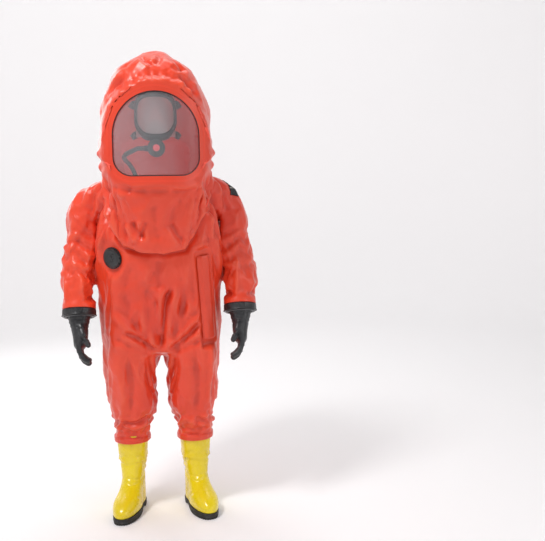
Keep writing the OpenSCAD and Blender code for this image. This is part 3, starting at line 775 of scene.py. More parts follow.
def fold_skin(mesh, arm):
    """Lays the folds into the cloth, then flattens it under the zip's flap and the exhaust valve."""
    points, normals = coordinates(mesh), vertex_normals(mesh)
    x, y, z = points.T
    dent = pocket(points)
    points[:, 0] -= np.sign(points[:, 0]) * dent
    height = bunching(points, arm) + hanging(points, arm) + overhang(points, normals)
    height += pucker(points) * ramp(-normals[:, 1], .15, .55)
    for path, width, depth in FRONT_FOLDS:
        height += crease(points, normals, "front", path, width, depth)
    for path, width, depth in SIDE_FOLDS:
        for view, sign in (("left", 1), ("right", -1)):
            height += crease(points, normals, view, path, width, depth) * (np.sign(points[:, 0]) == sign)
    for path, width, depth in BACK_FOLDS:
        height += crease(points, normals, "back", path, width, depth)
    # the seam ridge that runs on down the left leg from the zip's flap
    left_ridge = [(.200, .735), (.197, .640), (.192, .540), (.186, .440)]
    height += crease(points, normals, "front", left_ridge, .009, -.008, 0)
    quiet = visor_quiet(points)
    # the same on both sides, as the forearms lean straight ahead
    along = (points - np.array(WRIST)) @ np.array(FOREARM)
    quiet = quiet * np.where((arm > .5) & (z < 1.1), 1 - ramp(along, -.045, -.018), 1)
    quiet = quiet * np.where(z < .5, ramp(z, .318, .365), 1)
    height = np.where((z < .45) & (arm < .5), np.maximum(height, -.004), height)
    points += normals * (height * quiet * FOLD_STRENGTH)[:, None]
    cheek = ramp(np.abs(x), .185, .21) * ramp(z, 1.40, 1.45) * (1 - ramp(z, 1.58, 1.66)) * ramp(-y, .05, .12)
    points += (blur(mesh, points, 14) - points) * cheek[:, None]
    flatten(points, zip_frame(), (.034, .052), (-.005, .380), -.001)
    valve_flat(points)
    set_coordinates(mesh, points)


def visor_quiet(points):
    """0 on the visor's rim, where the cloth lies smooth, and 1 away from it."""
    x, y, z = points.T
    return np.where(y < -.2, ramp(visor_distance(x, z), .020, .036), 1.0)


def flatten(points, matrix, across, along, level):
    local = in_frame(matrix, points)
    share = (1 - ramp(np.abs(local[:, 0]), *across)) * ramp(local[:, 2], along[0] - .03, along[0])
    share = share * (1 - ramp(local[:, 2], along[1], along[1] + .03)) * (np.abs(local[:, 1]) < .06)
    local[:, 1] += (level - local[:, 1]) * share
    points[:] = out_of_frame(matrix, local)


VALVE = (Matrix.Translation((-.178, -.196, 1.090)) @ Matrix.Rotation(math.radians(-36), 4, "Z")
         @ Matrix.Rotation(math.radians(96), 4, "X"))


def valve_flat(points):
    """The cloth is clamped flat under the valve's flange."""
    local = in_frame(VALVE, points)
    radius = np.hypot(local[:, 0], local[:, 1])
    share = (1 - ramp(radius, .046, .085)) * (np.abs(local[:, 2]) < .07)
    local[:, 2] += (.0008 - local[:, 2]) * share
    points[:] = out_of_frame(VALVE, local)


# ---------------------------------------------------------------- cutting the skin into its pieces

WALL = .003  # the fabric's thickness where an edge shows
HEM_Z = .297
VISOR_CUT = .0165  # the skin is cut this far outside the visor's outline
CUFF_R = .0655  # the sleeve's radius where it meets the cuff ring
SLEEVE_END = -.0160  # along the forearm, at the top of the cuff ring


def quads_of(mesh):
    flat = np.empty(len(mesh.loops), np.int32)
    mesh.loops.foreach_get("vertex_index", flat)
    sizes = np.empty(len(mesh.polygons), np.int32)
    mesh.polygons.foreach_get("loop_total", sizes)
    starts = np.concatenate(([0], np.cumsum(sizes)[:-1]))
    keep = sizes == 4
    return np.stack([flat[starts[keep] + i] for i in range(4)], 1)


def edge_uses(faces):
    """Each face's edges, and how many faces use each."""
    edges = np.stack((faces, np.roll(faces, -1, axis=1)), 2).reshape(-1, 2)
    ordered = np.sort(edges, axis=1)
    key = ordered[:, 0].astype(np.int64) * (faces.max() + 1) + ordered[:, 1]
    _, where, counts = np.unique(key, return_inverse=True, return_counts=True)
    return edges, counts[where.ravel()]


def cut_open(points, faces, arm):
    """Opens the skin at the visor, the wrists and the hems, and draws each cut edge onto its true line."""
    x, y, z = points.T
    in_front = y < -.2
    away = visor_distance(x, z)
    visor = in_front & (away < VISOR_CUT)
    forearm = np.array(FOREARM)
    along = (points - np.array(WRIST)) @ forearm
    mirrored_points = points * np.array([-1, 1, 1])
    along = np.where(x < 0, (mirrored_points - np.array(WRIST)) @ forearm, along)
    wrist = (arm > .5) & (along > SLEEVE_END)
    hem = (z < HEM_Z) & (np.abs(x) < .26)
    gone = visor | wrist | hem
    faces = faces[~gone[faces].all(axis=1)]
    edges, uses = edge_uses(faces)
    border = np.unique(edges[uses == 1])
    at = points[border]
    bx, by, bz = at.T
    near_visor = (by < -.2) & (visor_distance(bx, bz) < .05) & (bz > 1.3)
    for _ in range(4):
        bx, bz = at[:, 0], at[:, 2]
        d = visor_distance(bx, bz)
        step = 1e-4
        slope = np.stack((visor_distance(bx + step, bz) - d, visor_distance(bx, bz + step) - d), 1) / step
        slope /= np.maximum(np.linalg.norm(slope, axis=1, keepdims=True), 1e-6)
        move = slope * (VISOR_CUT - d)[:, None]
        at[near_visor, 0] += move[near_visor, 0]
        at[near_visor, 2] += move[near_visor, 1]
    at[near_visor, 1] = VISOR_AXIS_Y - np.sqrt(VISOR_R ** 2 - at[near_visor, 0] ** 2)
    near_hem = at[:, 2] < .33
    at[near_hem, 2] = HEM_Z
    near_wrist = (arm[border] > .5) & (at[:, 2] < 1.0)
    side = np.sign(at[:, 0])
    local = at * np.stack((side, np.ones_like(side), np.ones_like(side)), 1) - np.array(WRIST)
    reach = local @ forearm
    local -= (reach - SLEEVE_END)[:, None] * forearm
    radial = local - (local @ forearm)[:, None] * forearm
    length = np.linalg.norm(radial, axis=1, keepdims=True)
    local += radial * (CUFF_R / np.maximum(length, 1e-6) - 1)
    snapped = (local + np.array(WRIST)) * np.stack((side, np.ones_like(side), np.ones_like(side)), 1)
    at[near_wrist] = snapped[near_wrist]
    points[border] = at
    return faces


def fit_openings(points, arm):
    """Before the cut: the cloth near the visor lies on its cylinder, and near a wrist or hem it is round."""
    x, y, z = points.T
    share = (1 - ramp(visor_distance(x, z), .024, .060)) * ramp(-y, .18, .22)
    target = VISOR_AXIS_Y - np.sqrt(np.clip(VISOR_R ** 2 - x ** 2, .01, None))
    points[:, 1] += (target - y) * share
    for side in (1, -1):
        axis = np.array([side * FOREARM.x, FOREARM.y, FOREARM.z])
        middle = np.array([side * WRIST.x, WRIST.y, WRIST.z])
        local = points - middle
        along = local @ axis
        near = (arm > .5) & (side * x > 0) & (z < 1.1)
        radial = local - along[:, None] * axis
        length = np.maximum(np.linalg.norm(radial, axis=1), 1e-6)
        share = np.where(near, ramp(along, -.060, -.022), 0)
        points += radial * (share * (.0655 / length - 1))[:, None]
    centre = np.where(points[:, 0] > 0, .133, -.133)
    dx, dy = points[:, 0] - centre, points[:, 1] - .044
    level = np.hypot(dx / .0735, dy / .0785)
    share = (1 - ramp(points[:, 2], .300, .330)) * (points[:, 2] < .4)
    points[:, 0] += dx * share * (1 / np.maximum(level, 1e-3) - 1)
    points[:, 1] += dy * share * (1 / np.maximum(level, 1e-3) - 1)


def wall_piece(name, points, normals, faces, rims, seam, hollow, materials):
    """A piece of the skin as a wall of fabric, closed along the edges that show."""
    used, index = np.unique(faces, return_inverse=True)
    faces = index.reshape(faces.shape)
    count = len(used)
    outer, out = points[used], normals[used]
    inner = outer - out * WALL
    lookup = {v: i for i, v in enumerate(used.tolist())}
    rim_edges = [(lookup[a], lookup[b]) for a, b in rims.tolist() if a in lookup and b in lookup]
    rim_points, rim_faces, rim_normals = [], [], []
    rim_index = {}
    for a, b in rim_edges:
        across = np.cross(outer[b] - outer[a], out[a])
        across /= max(np.linalg.norm(across), 1e-9)
        for v in (a, b):
            if v not in rim_index:
                rim_index[v] = len(rim_points)
                rim_points += [outer[v], inner[v]]
                rim_normals += [np.zeros(3), np.zeros(3)]
            for k in (0, 1):
                rim_normals[rim_index[v] + k] = rim_normals[rim_index[v] + k] + across
        start = 2 * count
        i, j = rim_index[a] + start, rim_index[b] + start
        rim_faces.append([j, i, i + 1, j + 1])
    all_points = np.concatenate([outer, inner] + ([np.array(rim_points)] if rim_points else []))
    all_normals = np.concatenate([out, -out] + ([np.array(rim_normals)] if rim_points else []))
    all_normals /= np.maximum(np.linalg.norm(all_normals, axis=1, keepdims=True), 1e-9)
    all_faces = faces.tolist() + (faces[:, ::-1] + count).tolist() + rim_faces
    mesh = mesh_from(name, all_points, all_faces)
    smooth(mesh)
    mesh.normals_split_custom_set_from_vertices([tuple(n) for n in all_normals])
    # the hollow attribute carries the folds' painted shade and painted highlight into the fabric's colour
    for word, outside, inside in (("seam", seam, 1.0), ("hollow", hollow, 0.0)):
        values = np.full(len(all_points), inside, np.float32)
        values[:count] = outside[used]
        mesh.attributes.new(word, "FLOAT", "POINT").data.foreach_set("value", values)
    for material in materials:
        mesh.materials.append(material)
    lined = np.zeros(len(mesh.polygons), np.int32)
    lined[len(faces):2 * len(faces)] = 1
    mesh.polygons.foreach_set("material_index", lined)
    return new_object(name, mesh)


def seam_distance(points):
    """How far each point is from the nearest welded seam tape."""
    x, y, z = points.T
    far = np.full(len(points), 1.0)
    visor = np.where(y < -.2, np.abs(visor_distance(x, z) - .032), far)
    neck = np.where((y > -.16) & (z > 1.4), np.abs(z - 1.512 + .42 * (y + .133)), far)
    side = np.where((z < .80) & (np.abs(x) > .13), np.abs(y - .012), far)
    trunk = np.where((z >= .80) & (z < 1.22) & (np.abs(x) > .2), np.abs(y - .012), far)
    hump_top = np.where((y > .20) & (z > .9), np.abs(np.abs(x) - .196), far)
    hump_low = np.where(y > .15, np.abs(z - .905), far)
    hump_front = np.where((np.abs(x) > .1) & (z > .86) & (z < 1.60) & (y > .10), np.abs(y - .150), far)
    crown = np.where((z > 1.72) & (y > -.30), np.abs(x), far)
    arm = np.where((np.abs(x) > .26) & (z < 1.25), np.abs(y - (-.022 - .42 * (1.2 - z)) - .012), far)
    bib = np.where((y < -.1) & (z < 1.36) & (z > 1.05),
                   np.abs(z - 1.098 - 1.35 * x ** 2) * .9, far)
    return np.minimum.reduce([visor, neck, side, trunk, hump_low, hump_top, hump_front, crown, arm, bib])


def fold_shade_and_highlight(mesh, points, normals):
    """How far the cloth lies in a valley (towards 1) or on a ridge (towards -1) of its folds, which the fabric's
    colour turns into painted shade and painted highlight.
    """
    near = ((blur(mesh, points, 5) - points) * normals).sum(1) / .0011
    wide = ((blur(mesh, points, 26) - points) * normals).sum(1) / .0046
    return blur(mesh, np.clip(near, -1, 1) * .30 + np.clip(wide, -1, 1) * .55, 3)


def make_skin(materials):
    """Drapes the suit's cloth, cuts it into pieces and puts the body's piece on the body."""
    skin = base_skin()
    let_loose(skin, CLOTH_FRAMES)
    modifier = skin.modifiers.new("finer", "SUBSURF")
    modifier.levels = modifier.render_levels = 1
    apply_modifiers(skin)
    mesh = skin.data
    points = coordinates(mesh)
    arm = np.empty(len(points), np.float32)
    mesh.attributes["arm"].data.foreach_get("value", arm)
    fit_openings(points, arm)
    set_coordinates(mesh, points)
    fold_skin(mesh, arm)
    points = coordinates(mesh)
    fit_openings(points, arm)
    faces = cut_open(points, quads_of(mesh), arm)
    set_coordinates(mesh, points)
    normals = vertex_normals(mesh)
    edges, uses = edge_uses(faces)
    rims = edges[uses == 1]
    centre, face_arm = points[faces].mean(axis=1), arm[faces].mean(axis=1)
    seam, hollow = seam_distance(points), fold_shade_and_highlight(mesh, points, normals)
    x, y, z = centre.T
    label = np.zeros(len(faces), int)
    shoulder = (np.abs(x) > SHOULDER_FROM) & (z > 1.245) & (y > -.125) & (y < .105) & (z < 1.44)
    on_arm = (face_arm > .5) | shoulder
    label[on_arm & (z >= 1.21)] = 1
    label[on_arm & (z < 1.21)] = 2
    label[(z < .56) & (np.abs(x) < .26) & ~on_arm] = 3
    body = wall_piece("suit_body", points, normals, faces[label == 0], rims, seam, hollow, materials)
    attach(body, "body")
    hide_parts("torso_shell", "hood_shell", "chest_bib", "hump_shell", "right_leg_shell", "left_leg_shell")
    for side, sign in SIDES:
        here = np.sign(x) == sign
        plan = ((1, "sleeve_upper", "body", side + "_upper_arm", (SHOULDER_FROM, 0, 1.32), (SHOULDER_TO, 0, 1.32),
                 "upper_sleeve"),
                (2, "sleeve_lower", side + "_upper_arm", side + "_forearm", (.33, -.03, 1.19), (.335, -.07, 1.03),
                 "lower_sleeve"),
                (3, "trouser_leg", "body", side + "_shin", (.132, .02, .55), (.132, .02, .39), "shin_shell"))
        for number, word, first, second, start, end, node in plan:
            name = side + "_" + word
            chosen = faces[(label == number) & here]
            piece = wall_piece(name, points, normals, chosen, rims, seam, hollow, materials)
            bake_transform(piece)
            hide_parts(side + "_" + node)
    kept = faces[label <= 3]
    tree = BVHTree.FromPolygons([tuple(p) for p in points], kept.tolist())
    bpy.data.objects.remove(skin)
    return tree


# ---------------------------------------------------------------- smaller pieces

def strip(path, normals_out, width, thickness, rows=8, bulge=0.0):
    """A flat strap with rounded edges along a path, as points and faces."""
    path, out = np.array(path, float), np.array(normals_out, float)
    ways = np.gradient(path, axis=0)
    ways /= np.linalg.norm(ways, axis=1, keepdims=True)
    out -= (out * ways).sum(1, keepdims=True) * ways
    out /= np.linalg.norm(out, axis=1, keepdims=True)
    across = np.cross(ways, out)
    a = (np.arange(rows * 4) + .5) * 2 * math.pi / (rows * 4)
    u, v = superellipse(a, .35)
    rings = []
    for p, n, s in zip(path, out, across):
        ring = p + np.outer(u * width / 2, s) + np.outer(v * thickness / 2 + bulge * (1 - u ** 2), n)
        rings.append(ring)
    return bridged(rings)


def bridged(rings, closed=False):
    """Faces between rings of points, with a flat cap at each end unless they close on themselves."""
    count = len(rings[0])
    points = np.concatenate(rings)
    faces = []
    last = len(rings) if closed else len(rings) - 1
    for r in range(last):
        s = (r + 1) % len(rings)
        for i in range(count):
            j = (i + 1) % count
            faces.append([r * count + i, r * count + j, s * count + j, s * count + i])
    if not closed:
        faces += [list(range(count))[::-1], [len(points) - count + i for i in range(count)]]
    return points, faces


def tube(path, radii, count=16, flat=1.0):
    """A round limb along a path with domed ends."""
    path, radii = np.array(path, float), list(radii)
    ways = np.gradient(path, axis=0)
    ways /= np.linalg.norm(ways, axis=1, keepdims=True)
    dense, widths, directions = [], [], []
    for angle in (80, 55, 30):
        c, s = math.cos(math.radians(angle)), math.sin(math.radians(angle))
        dense.append(path[0] - ways[0] * radii[0] * s)
        widths.append(radii[0] * c)
        directions.append(ways[0])
    dense += list(path)
    widths += radii
    directions += list(ways)
    for angle in (30, 55, 80):
        c, s = math.cos(math.radians(angle)), math.sin(math.radians(angle))
        dense.append(path[-1] + ways[-1] * radii[-1] * s)
        widths.append(radii[-1] * c)
        directions.append(ways[-1])
    up = np.array([.31, .17, .93])
    rings = []
    a = np.arange(count) * 2 * math.pi / count
    for p, r, w in zip(dense, widths, directions):
        side = np.cross(w, up)
        side /= np.linalg.norm(side)
        other = np.cross(side, w)
        rings.append(p + r * (np.outer(np.cos(a), side) * flat + np.outer(np.sin(a), other)))
    return bridged(rings)


def finish_piece(name, part, material, body, nodes=(), auto=35, subdivide=0):
    """Makes a piece from points and faces, with smooth faces and crisp corners, and puts it on its body."""
    points, faces = part
    mesh = mesh_from(name, points, faces)
    made = new_object(name, mesh)
    bm = bmesh.new()
    bm.from_mesh(mesh)
    bmesh.ops.recalc_face_normals(bm, faces=bm.faces)
    for edge in bm.edges:
        edge.smooth = len(edge.link_faces) == 2 and edge.calc_face_angle(0) < math.radians(auto)
    bm.to_mesh(mesh)
    bm.free()
    if subdivide:
        modifier = made.modifiers.new("finer", "SUBSURF")
        modifier.levels = modifier.render_levels = subdivide
        apply_modifiers(made)
        mesh = made.data
    smooth(mesh)
    mesh.materials.clear()
    mesh.materials.append(material)
    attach(made, body)
    if nodes:
        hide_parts(*nodes)
    return made


def remeshed(part, voxel, rounds):
    """Several closed solids melted into one even mesh."""
    lump = new_object("lump", mesh_from("lump", *part))
    modifier = lump.modifiers.new("remesh", "REMESH")
    modifier.mode = "VOXEL"
    modifier.voxel_size = voxel
    apply_modifiers(lump)
    set_coordinates(lump.data, blur(lump.data, coordinates(lump.data), rounds))
    points, normals = coordinates(lump.data), vertex_normals(lump.data)
    faces = quads_of(lump.data).tolist()
    bpy.data.objects.remove(lump)
    return points, normals, faces


def sided(points, sign):
    return points * np.array([sign, 1, 1])


def flipped(faces, sign):
    return faces if sign > 0 else [list(face)[::-1] for face in faces]


# The glove, in the forearm's frame: z up the arm, -y forwards, -x towards the body.
PALM = [[.011, 0, 0, .0475, .0475], [-.004, 0, 0, .0465, .0468], [-.020, 0, 0, .0440, .0450],
        [-.040, 0, 0, .0395, .0430], [-.060, -.001, 0, .0345, .0430], [-.080, -.003, .001, .0315, .0450],
        [-.100, -.004, .002, .0290, .0465], [-.120, -.003, .002, .0260, .0470], [-.136, -.002, .003, .0215, .0450],
        [-.146, -.001, .003, .0130, .0390]]
FINGERS = [(-.0335, .068, .0126), (-.0110, .078, .0134), (.0120, .074, .0130), (.0335, .058, .0118)]


def glove_part():
    parts = [loft(smoother(PALM, 3), .86, 40)]
    for y, length, r in FINGERS:
        path = [(-.002, y, -.118), (.000, y, -.136), (-.003, y * .99, -.140 - length * .20),
                (-.010, y * .96, -.140 - length * .46), (-.022, y * .91, -.140 - length * .68),
                (-.036, y * .86, -.140 - length * .80)]
        parts.append(tube(path, (r, r * 1.07, r * 1.02, r * 1.0, r * .96, r * .90), 16))
    thumb = [(-.006, -.022, -.052), (-.013, -.038, -.076), (-.020, -.048, -.098), (-.028, -.050, -.118),
             (-.037, -.044, -.134)]
    parts.append(tube(thumb, (.0185, .0172, .0148, .0132, .0118), 16))
    points, normals, faces = remeshed(joined(parts), .0026, 3)
    x, y, z = points.T
    height = np.zeros(len(points))
    for place in (-.030, -.047, -.062):  # the gauntlet wrinkles where the wrist bends
        wander = field(points, (22, 22, 22), place * 90) * .004
        height -= .0014 * np.exp(-((z - place + wander) / .0035) ** 2)
    for fy, length, r in FINGERS:
        near = np.exp(-((y - fy * .96) / .010) ** 2)
        for part in (.30, .60):
            height -= .0012 * near * np.exp(-((z + .140 + length * part) / .0028) ** 2)
    height += field(points, (60, 60, 60), 2.0) * .0006
    web = ramp(z, -.120, -.105) * (1 - ramp(z, -.08, -.06)) * (x < 0)  # between the thumb and the palm
    height -= .0022 * np.exp(-((y + .026) / .006) ** 2) * web
    for place in (.000, .006):  # the rolled bead that the ring holds
        height += .0008 * np.exp(-((z - place) / .0018) ** 2)
    return points + normals * height[:, None], faces


def forearm_matrix():
    return Matrix.Translation(WRIST) @ Matrix.Rotation(math.radians(-16), 4, "X")


# The boot, in its own frame: -y towards the toe.
BOOT = [[.0262, 0, -.052, .0500, .1425], [.034, 0, -.052, .0515, .1435], [.044, 0, -.0515, .0525, .1435],
        [.054, 0, -.049, .0525, .1405], [.065, 0, -.044, .0520, .1340], [.076, 0, -.0365, .0510, .1255],
        [.086, 0, -.027, .0500, .1145], [.096, 0, -.0165, .0485, .1025], [.108, 0, -.0050, .0470, .0900],
        [.122, 0, .0040, .0460, .0795], [.140, 0, .0095, .0455, .0720], [.160, 0, .0130, .0470, .0680],
        [.185, 0, .0145, .0510, .0660], [.220, 0, .0145, .0565, .0665], [.270, 0, .0140, .0615, .0680],
        [.312, 0, .0140, .0640, .0690], [.328, 0, .0140, .0642, .0692]]
BOOT_CREASES = [  # in the boot's own (y, z) from each side
    ([(.074, .232), (.040, .214), (.000, .200), (-.040, .222)], .0065, .0070),
    ([(.060, .196), (.020, .186), (-.020, .192)], .0060, .0045),
    ([(-.052, .250), (-.030, .232), (-.010, .226)], .0070, .0050),
    ([(-.030, .130), (.000, .142), (.035, .150)], .0080, .0030),
    ([(-.098, .086), (-.070, .074), (-.050, .062)], .0060, .0022),
    ([(.060, .150), (.030, .162), (.000, .166)], .0070, .0028)]


def foot_width(y, z):
    """Widens the ball of the foot and narrows the waist, fading out up the shaft."""
    low = 1 - ramp(z, .07, .13)
    ball = .05 * np.exp(-((y + .115) / .045) ** 2)
    waist = -.13 * np.exp(-((y + .010) / .038) ** 2)
    return 1 + low * (ball + waist)


def boot_part():
    sections = smoother(BOOT, 6)
    inner = [[s[0], s[1], s[2], s[3] - .0042, s[4] - .0042] for s in reversed(sections) if s[0] > .034]
    count = 112
    mesh = mesh_from("boot", *loft(sections, .86, count))
    points, normals = coordinates(mesh), vertex_normals(mesh)
    bpy.data.meshes.remove(mesh)
    x, y, z = points.T
    points[:, 0] *= foot_width(y, z)
    points[:, 0] += .004 * np.exp(-((y + .120) / .05) ** 2) * (1 - ramp(z, .06, .10))
    height = np.zeros(len(points))
    flat = points[:, 1:]
    for path, width, depth in BOOT_CREASES:
        signed, share = distance_along(flat, path)
        taper = ramp(share, 0, .2) * (1 - ramp(share, .8, 1))
        facing = ramp(np.abs(normals[:, 0]), .05, .5)
        height += depth * taper * facing * (.5 * np.exp(-((signed - 1.9 * width) / (1.4 * width)) ** 2)
                                            - np.exp(-(signed / width) ** 2))
    front = ramp(-normals[:, 1], .1, .6)
    for place, depth in ((.128, .0030), (.146, .0036), (.205, .0032), (.236, .0026)):
        wander = .004 * np.sin(x * 90 + place * 50)
        height -= depth * front * np.exp(-((z - place - wander) / .0055) ** 2)
    height += .0016 * np.exp(-((z - .0305) / .0028) ** 2)  # the welt
    toe = np.exp(-((y + .142 - .25 * (z - .03)) / .0022) ** 2) * (1 - ramp(z, .08, .09))
    height += .0009 * toe  # the toe cap's edge
    height += .0010 * np.exp(-(x / .004) ** 2) * (normals[:, 1] > .5)  # the moulding line up the back
    height += .0012 * (ramp(z, .3185, .3205))  # the rolled top
    height += field(points, (14, 14, 14), 6.0) * .0018 * ramp(z, .10, .16)
    points += normals * height[:, None]
    lining, _ = loft(inner, .86, count)
    lining[:, 0] *= foot_width(lining[:, 1], lining[:, 2])
    rings = [points[i * count:(i + 1) * count] for i in range(len(points) // count)]
    rings += [lining[i * count:(i + 1) * count] for i in range(len(lining) // count)]
    return bridged(rings)


def sole_part():
    """A thick moulded sole: ribbed side wall, notches between the lugs, a waist and a block heel."""
    count = 336
    a = (np.arange(count) + .5) * 2 * math.pi / count
    u, v = superellipse(a, .80)
    base_x, base_y = .0525 * u, -.052 + .1455 * v
    run = np.concatenate(([0], np.cumsum(np.hypot(np.diff(base_x), np.diff(base_y)))))
    notch = ramp(np.abs(((run / .0115) % 1.0) - .5), .30, .36)
    waist = ramp(base_y, -.020, -.012) * (1 - ramp(base_y, .020, .028))
    rings = []
    profile = [(.0060, -.006, 0), (.0002, -.0040, 1), (.0006, -.0008, 1), (.0075, 0, 1), (.0088, -.0002, .6),
               (.0094, .0008, 0), (.0118, .0012, 0), (.0128, .0002, 0), (.0150, -.0002, 0), (.0160, .0008, 0),
               (.0185, .0008, 0), (.0195, -.0002, 0), (.0215, .0002, 0), (.0225, .0014, 0), (.0250, .0012, 0),
               (.0257, .0004, 0), (.0257, -.006, 0)]
    for z, grow, lugged in profile:
        scale_x = (1 + (grow - .0036 * notch * lugged) / .0525)
        scale_y = (1 + (grow - .0036 * notch * lugged) / .1455)
        px, py = base_x * scale_x, -.052 + (base_y + .052) * scale_y
        height = np.full(count, z)
        height = np.where(height < .0100, height + (.0100 - height) * waist, height)
        px = px * foot_width(py, np.full(count, .03))
        rings.append(np.stack((px, py, height), 1))
    parts = [bridged(rings)]
    for row in range(8):
        y = -.172 + .0190 * row
        half = .0525 * math.sqrt(max(1 - ((y + .052) / .1455) ** 2, 0)) * .84
        half *= float(foot_width(np.array(y), np.array(.03)))
        if half > .012:
            for side in (-1, 1):
                parts.append(lug(side * half * .52, y, half * .40, .0060, .20 * side))
    for row in range(3):
        y = .038 + .0175 * row
        half = .0525 * math.sqrt(max(1 - ((y + .052) / .1455) ** 2, 0)) * .80
        for side in (-1, 1):
            parts.append(lug(side * half * .52, y, half * .40, .0055, -.15 * side))
    return joined(parts)


def lug(x, y, half_x, half_y, turn):
    """A tread block with a drafted side."""
    a = (np.arange(12) + .5) * 2 * math.pi / 12
    u, v = superellipse(a, .4)
    rings = []
    for z, grow in ((.0075, 1.08), (.0010, 1.0), (.0002, .92)):
        px, py = half_x * grow * u, half_y * grow * v
        rings.append(np.stack((x + px * math.cos(turn) - py * math.sin(turn),
                               y + px * math.sin(turn) + py * math.cos(turn), np.full(12, z)), 1))
    points, faces = bridged(rings)
    return points, [face[::-1] for face in faces]


def ankle_matrix():
    return Matrix.Translation((.136, .030, 0)) @ Matrix.Rotation(math.radians(14), 4, "Z")


def band_part():
    """The sewn band that draws the trouser hem onto the boot."""
    count = 120
    a = (np.arange(count) + .5) * 2 * math.pi / count
    rings = []
    profile = [(.2990, -.0030), (.2985, .0010), (.3000, .0026), (.3040, .0032), (.3050, .0024), (.3060, .0032),
               (.3120, .0034), (.3170, .0032), (.3180, .0024), (.3190, .0030), (.3215, .0022), (.3222, -.0008),
               (.3210, -.0035)]
    for z, grow in profile:
        pull = .0010 * np.sin(a * 19) * np.sin(a * 7 + 1) * (grow > 0)
        r = grow + pull
        rings.append(np.stack((.133 + (.0735 + r) * np.cos(a), .044 + (.0785 + r) * np.sin(a),
                               np.full(count, z) + .0006 * np.sin(a * 5)), 1))
    return bridged(rings, closed=True)


def flap_part():
    """The cover flap over the zip: a long fold of fabric with a rounded crown and hemmed, slightly wavy edges."""
    half = .031
    steps = 70
    profile = [(-1.00, .0042), (-1.00, .0062), (-.93, .0072), (-.86, .0066), (-.78, .0082), (-.60, .0118),
               (-.48, .0146), (-.30, .0152), (0, .0154), (.30, .0152), (.48, .0146), (.60, .0118), (.78, .0082),
               (.86, .0066), (.93, .0072), (1.00, .0062), (1.00, .0042), (.80, .0052), (.46, .0124), (0, .0128),
               (-.46, .0124), (-.80, .0052)]
    rings = []
    for k in range(steps + 1):
        t = k / steps
        z = .012 + .350 * t
        wave = .0006 * math.sin(t * 23) + .0005 * math.sin(t * 51 + 1)
        dent = .0012 * math.exp(-((t - .42) / .018) ** 2) + .0010 * math.exp(-((t - .71) / .014) ** 2)
        end = min(1, .82 + 9 * min(t, 1 - t))
        ring = []
        for u, out in profile:
            crown = out - (dent if abs(u) < .5 else 0)
            ring.append(((half * u + wave * (1 if u > 0 else -1)) * end, -max(crown * end, .003), z))
        rings.append(np.array(ring))
    return bridged(rings)


def loop_part():
    """The webbing loop that the suit hangs by, from the hood's crown down its back."""
    box_low, box_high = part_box("hanger_loop")
    middle = (box_low.x + box_high.x) / 2
    line = [(-.058, 1.864), (-.030, 1.8655), (-.012, 1.8650), (-.002, 1.8600), (.007, 1.8490), (.0125, 1.8370),
            (.0145, 1.8240), (.0125, 1.8080), (.0075, 1.7960), (-.006, 1.7890), (-.030, 1.7880)]
    dense = smooth_line(np.array([(middle, y, z) for y, z in line]), 6)
    ways = np.gradient(dense, axis=0)
    out = np.cross(ways, (1.0, 0, 0)) * -1
    return strip(dense, out, .022, .0028)


def smooth_line(path, steps):
    """A smooth curve through the points of a path."""
    rows = []
    for i in range(len(path) - 1):
        before, a = path[max(i - 1, 0)], path[i]
        b, after = path[i + 1], path[min(i + 2, len(path) - 1)]
        for t in np.linspace(0, 1, steps, endpoint=False):
            rows.append(.5 * (2 * a + (b - before) * t + (2 * before - 5 * a + 4 * b - after) * t ** 2
                              + (3 * a - before - 3 * b + after) * t ** 3))
    rows.append(path[-1])
    return np.array(rows)


def patch_part(tree):
    """The badge on the left shoulder, laid on the cloth, with a raised woven edge and plain bars."""
    low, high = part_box("shoulder_patch")
    middle = (low + high) / 2 + Vector((-.016, -.062, -.024))
    out = Vector((.34, -.82, .46)).normalized()
    up = (Vector((0, 0, 1)) - out * out.z).normalized()
    side = up.cross(out).normalized()
    columns, rows = 25, 31
    grid = []
    for j in range(rows):
        for i in range(columns):
            u, v = (i / (columns - 1) - .5) * .058, (j / (rows - 1) - .5) * .074
            start = middle + side * u + up * v + out * .05
            place = tree.find_nearest(start - out * .05)[0]
            edge = min(i, j, columns - 1 - i, rows - 1 - j)
            lift = .0016 + (.0012 if edge in (0, 1) else 0)
            grid.append((np.array(place), np.array(out) * lift))
    base = np.array([g[0] for g in grid]).reshape(rows, columns, 3)
    for _ in range(12):
        base[1:-1, 1:-1] = (base[:-2, 1:-1] + base[2:, 1:-1] + base[1:-1, :-2] + base[1:-1, 2:]) / 4
    base = base.reshape(-1, 3)
    lift = np.array([g[1] for g in grid])
    top, bottom = base + lift + np.array(out) * .0012, base - np.array(out) * .0004
    count = rows * columns
    faces = []
    for j in range(rows - 1):
        for i in range(columns - 1):
            a = j * columns + i
            faces.append([a, a + 1, a + columns + 1, a + columns])
            faces.append([count + a, count + a + columns, count + a + columns + 1, count + a + 1])
    ring = ([i for i in range(columns)] + [j * columns + columns - 1 for j in range(1, rows)]
            + [(rows - 1) * columns + i for i in range(columns - 2, -1, -1)]
            + [j * columns for j in range(rows - 2, 0, -1)])
    for a, b in zip(ring, ring[1:] + ring[:1]):
        faces.append([b, a, a + count, b + count])
    return np.concatenate((top, bottom)), faces


def clasp_part():
    """The cuff ring's latch: a drafted plate, a lever with a turned-up lip, and a rivet."""
    parts = []
    for x0, x1, hy, z0, z1, soft in ((.0662, .0694, .0100, -.0050, .0100, .30),
                                     (.0690, .0712, .0060, -.0038, .0088, .45)):
        a = (np.arange(28) + .5) * 2 * math.pi / 28
        u, v = superellipse(a, soft)
        rings = [np.stack((np.full(28, x), hy * g * u, (z0 + z1) / 2 + (z1 - z0) / 2 * g * v), 1)
                 for x, g in ((x0, 1.0), (x1 - .0008, 1.0), (x1, .90))]
        parts.append(bridged(rings))
    parts.append(tube([(.0700, 0, .0025), (.0722, 0, .0025)], (.0030, .0026), 18))
    return joined(parts)


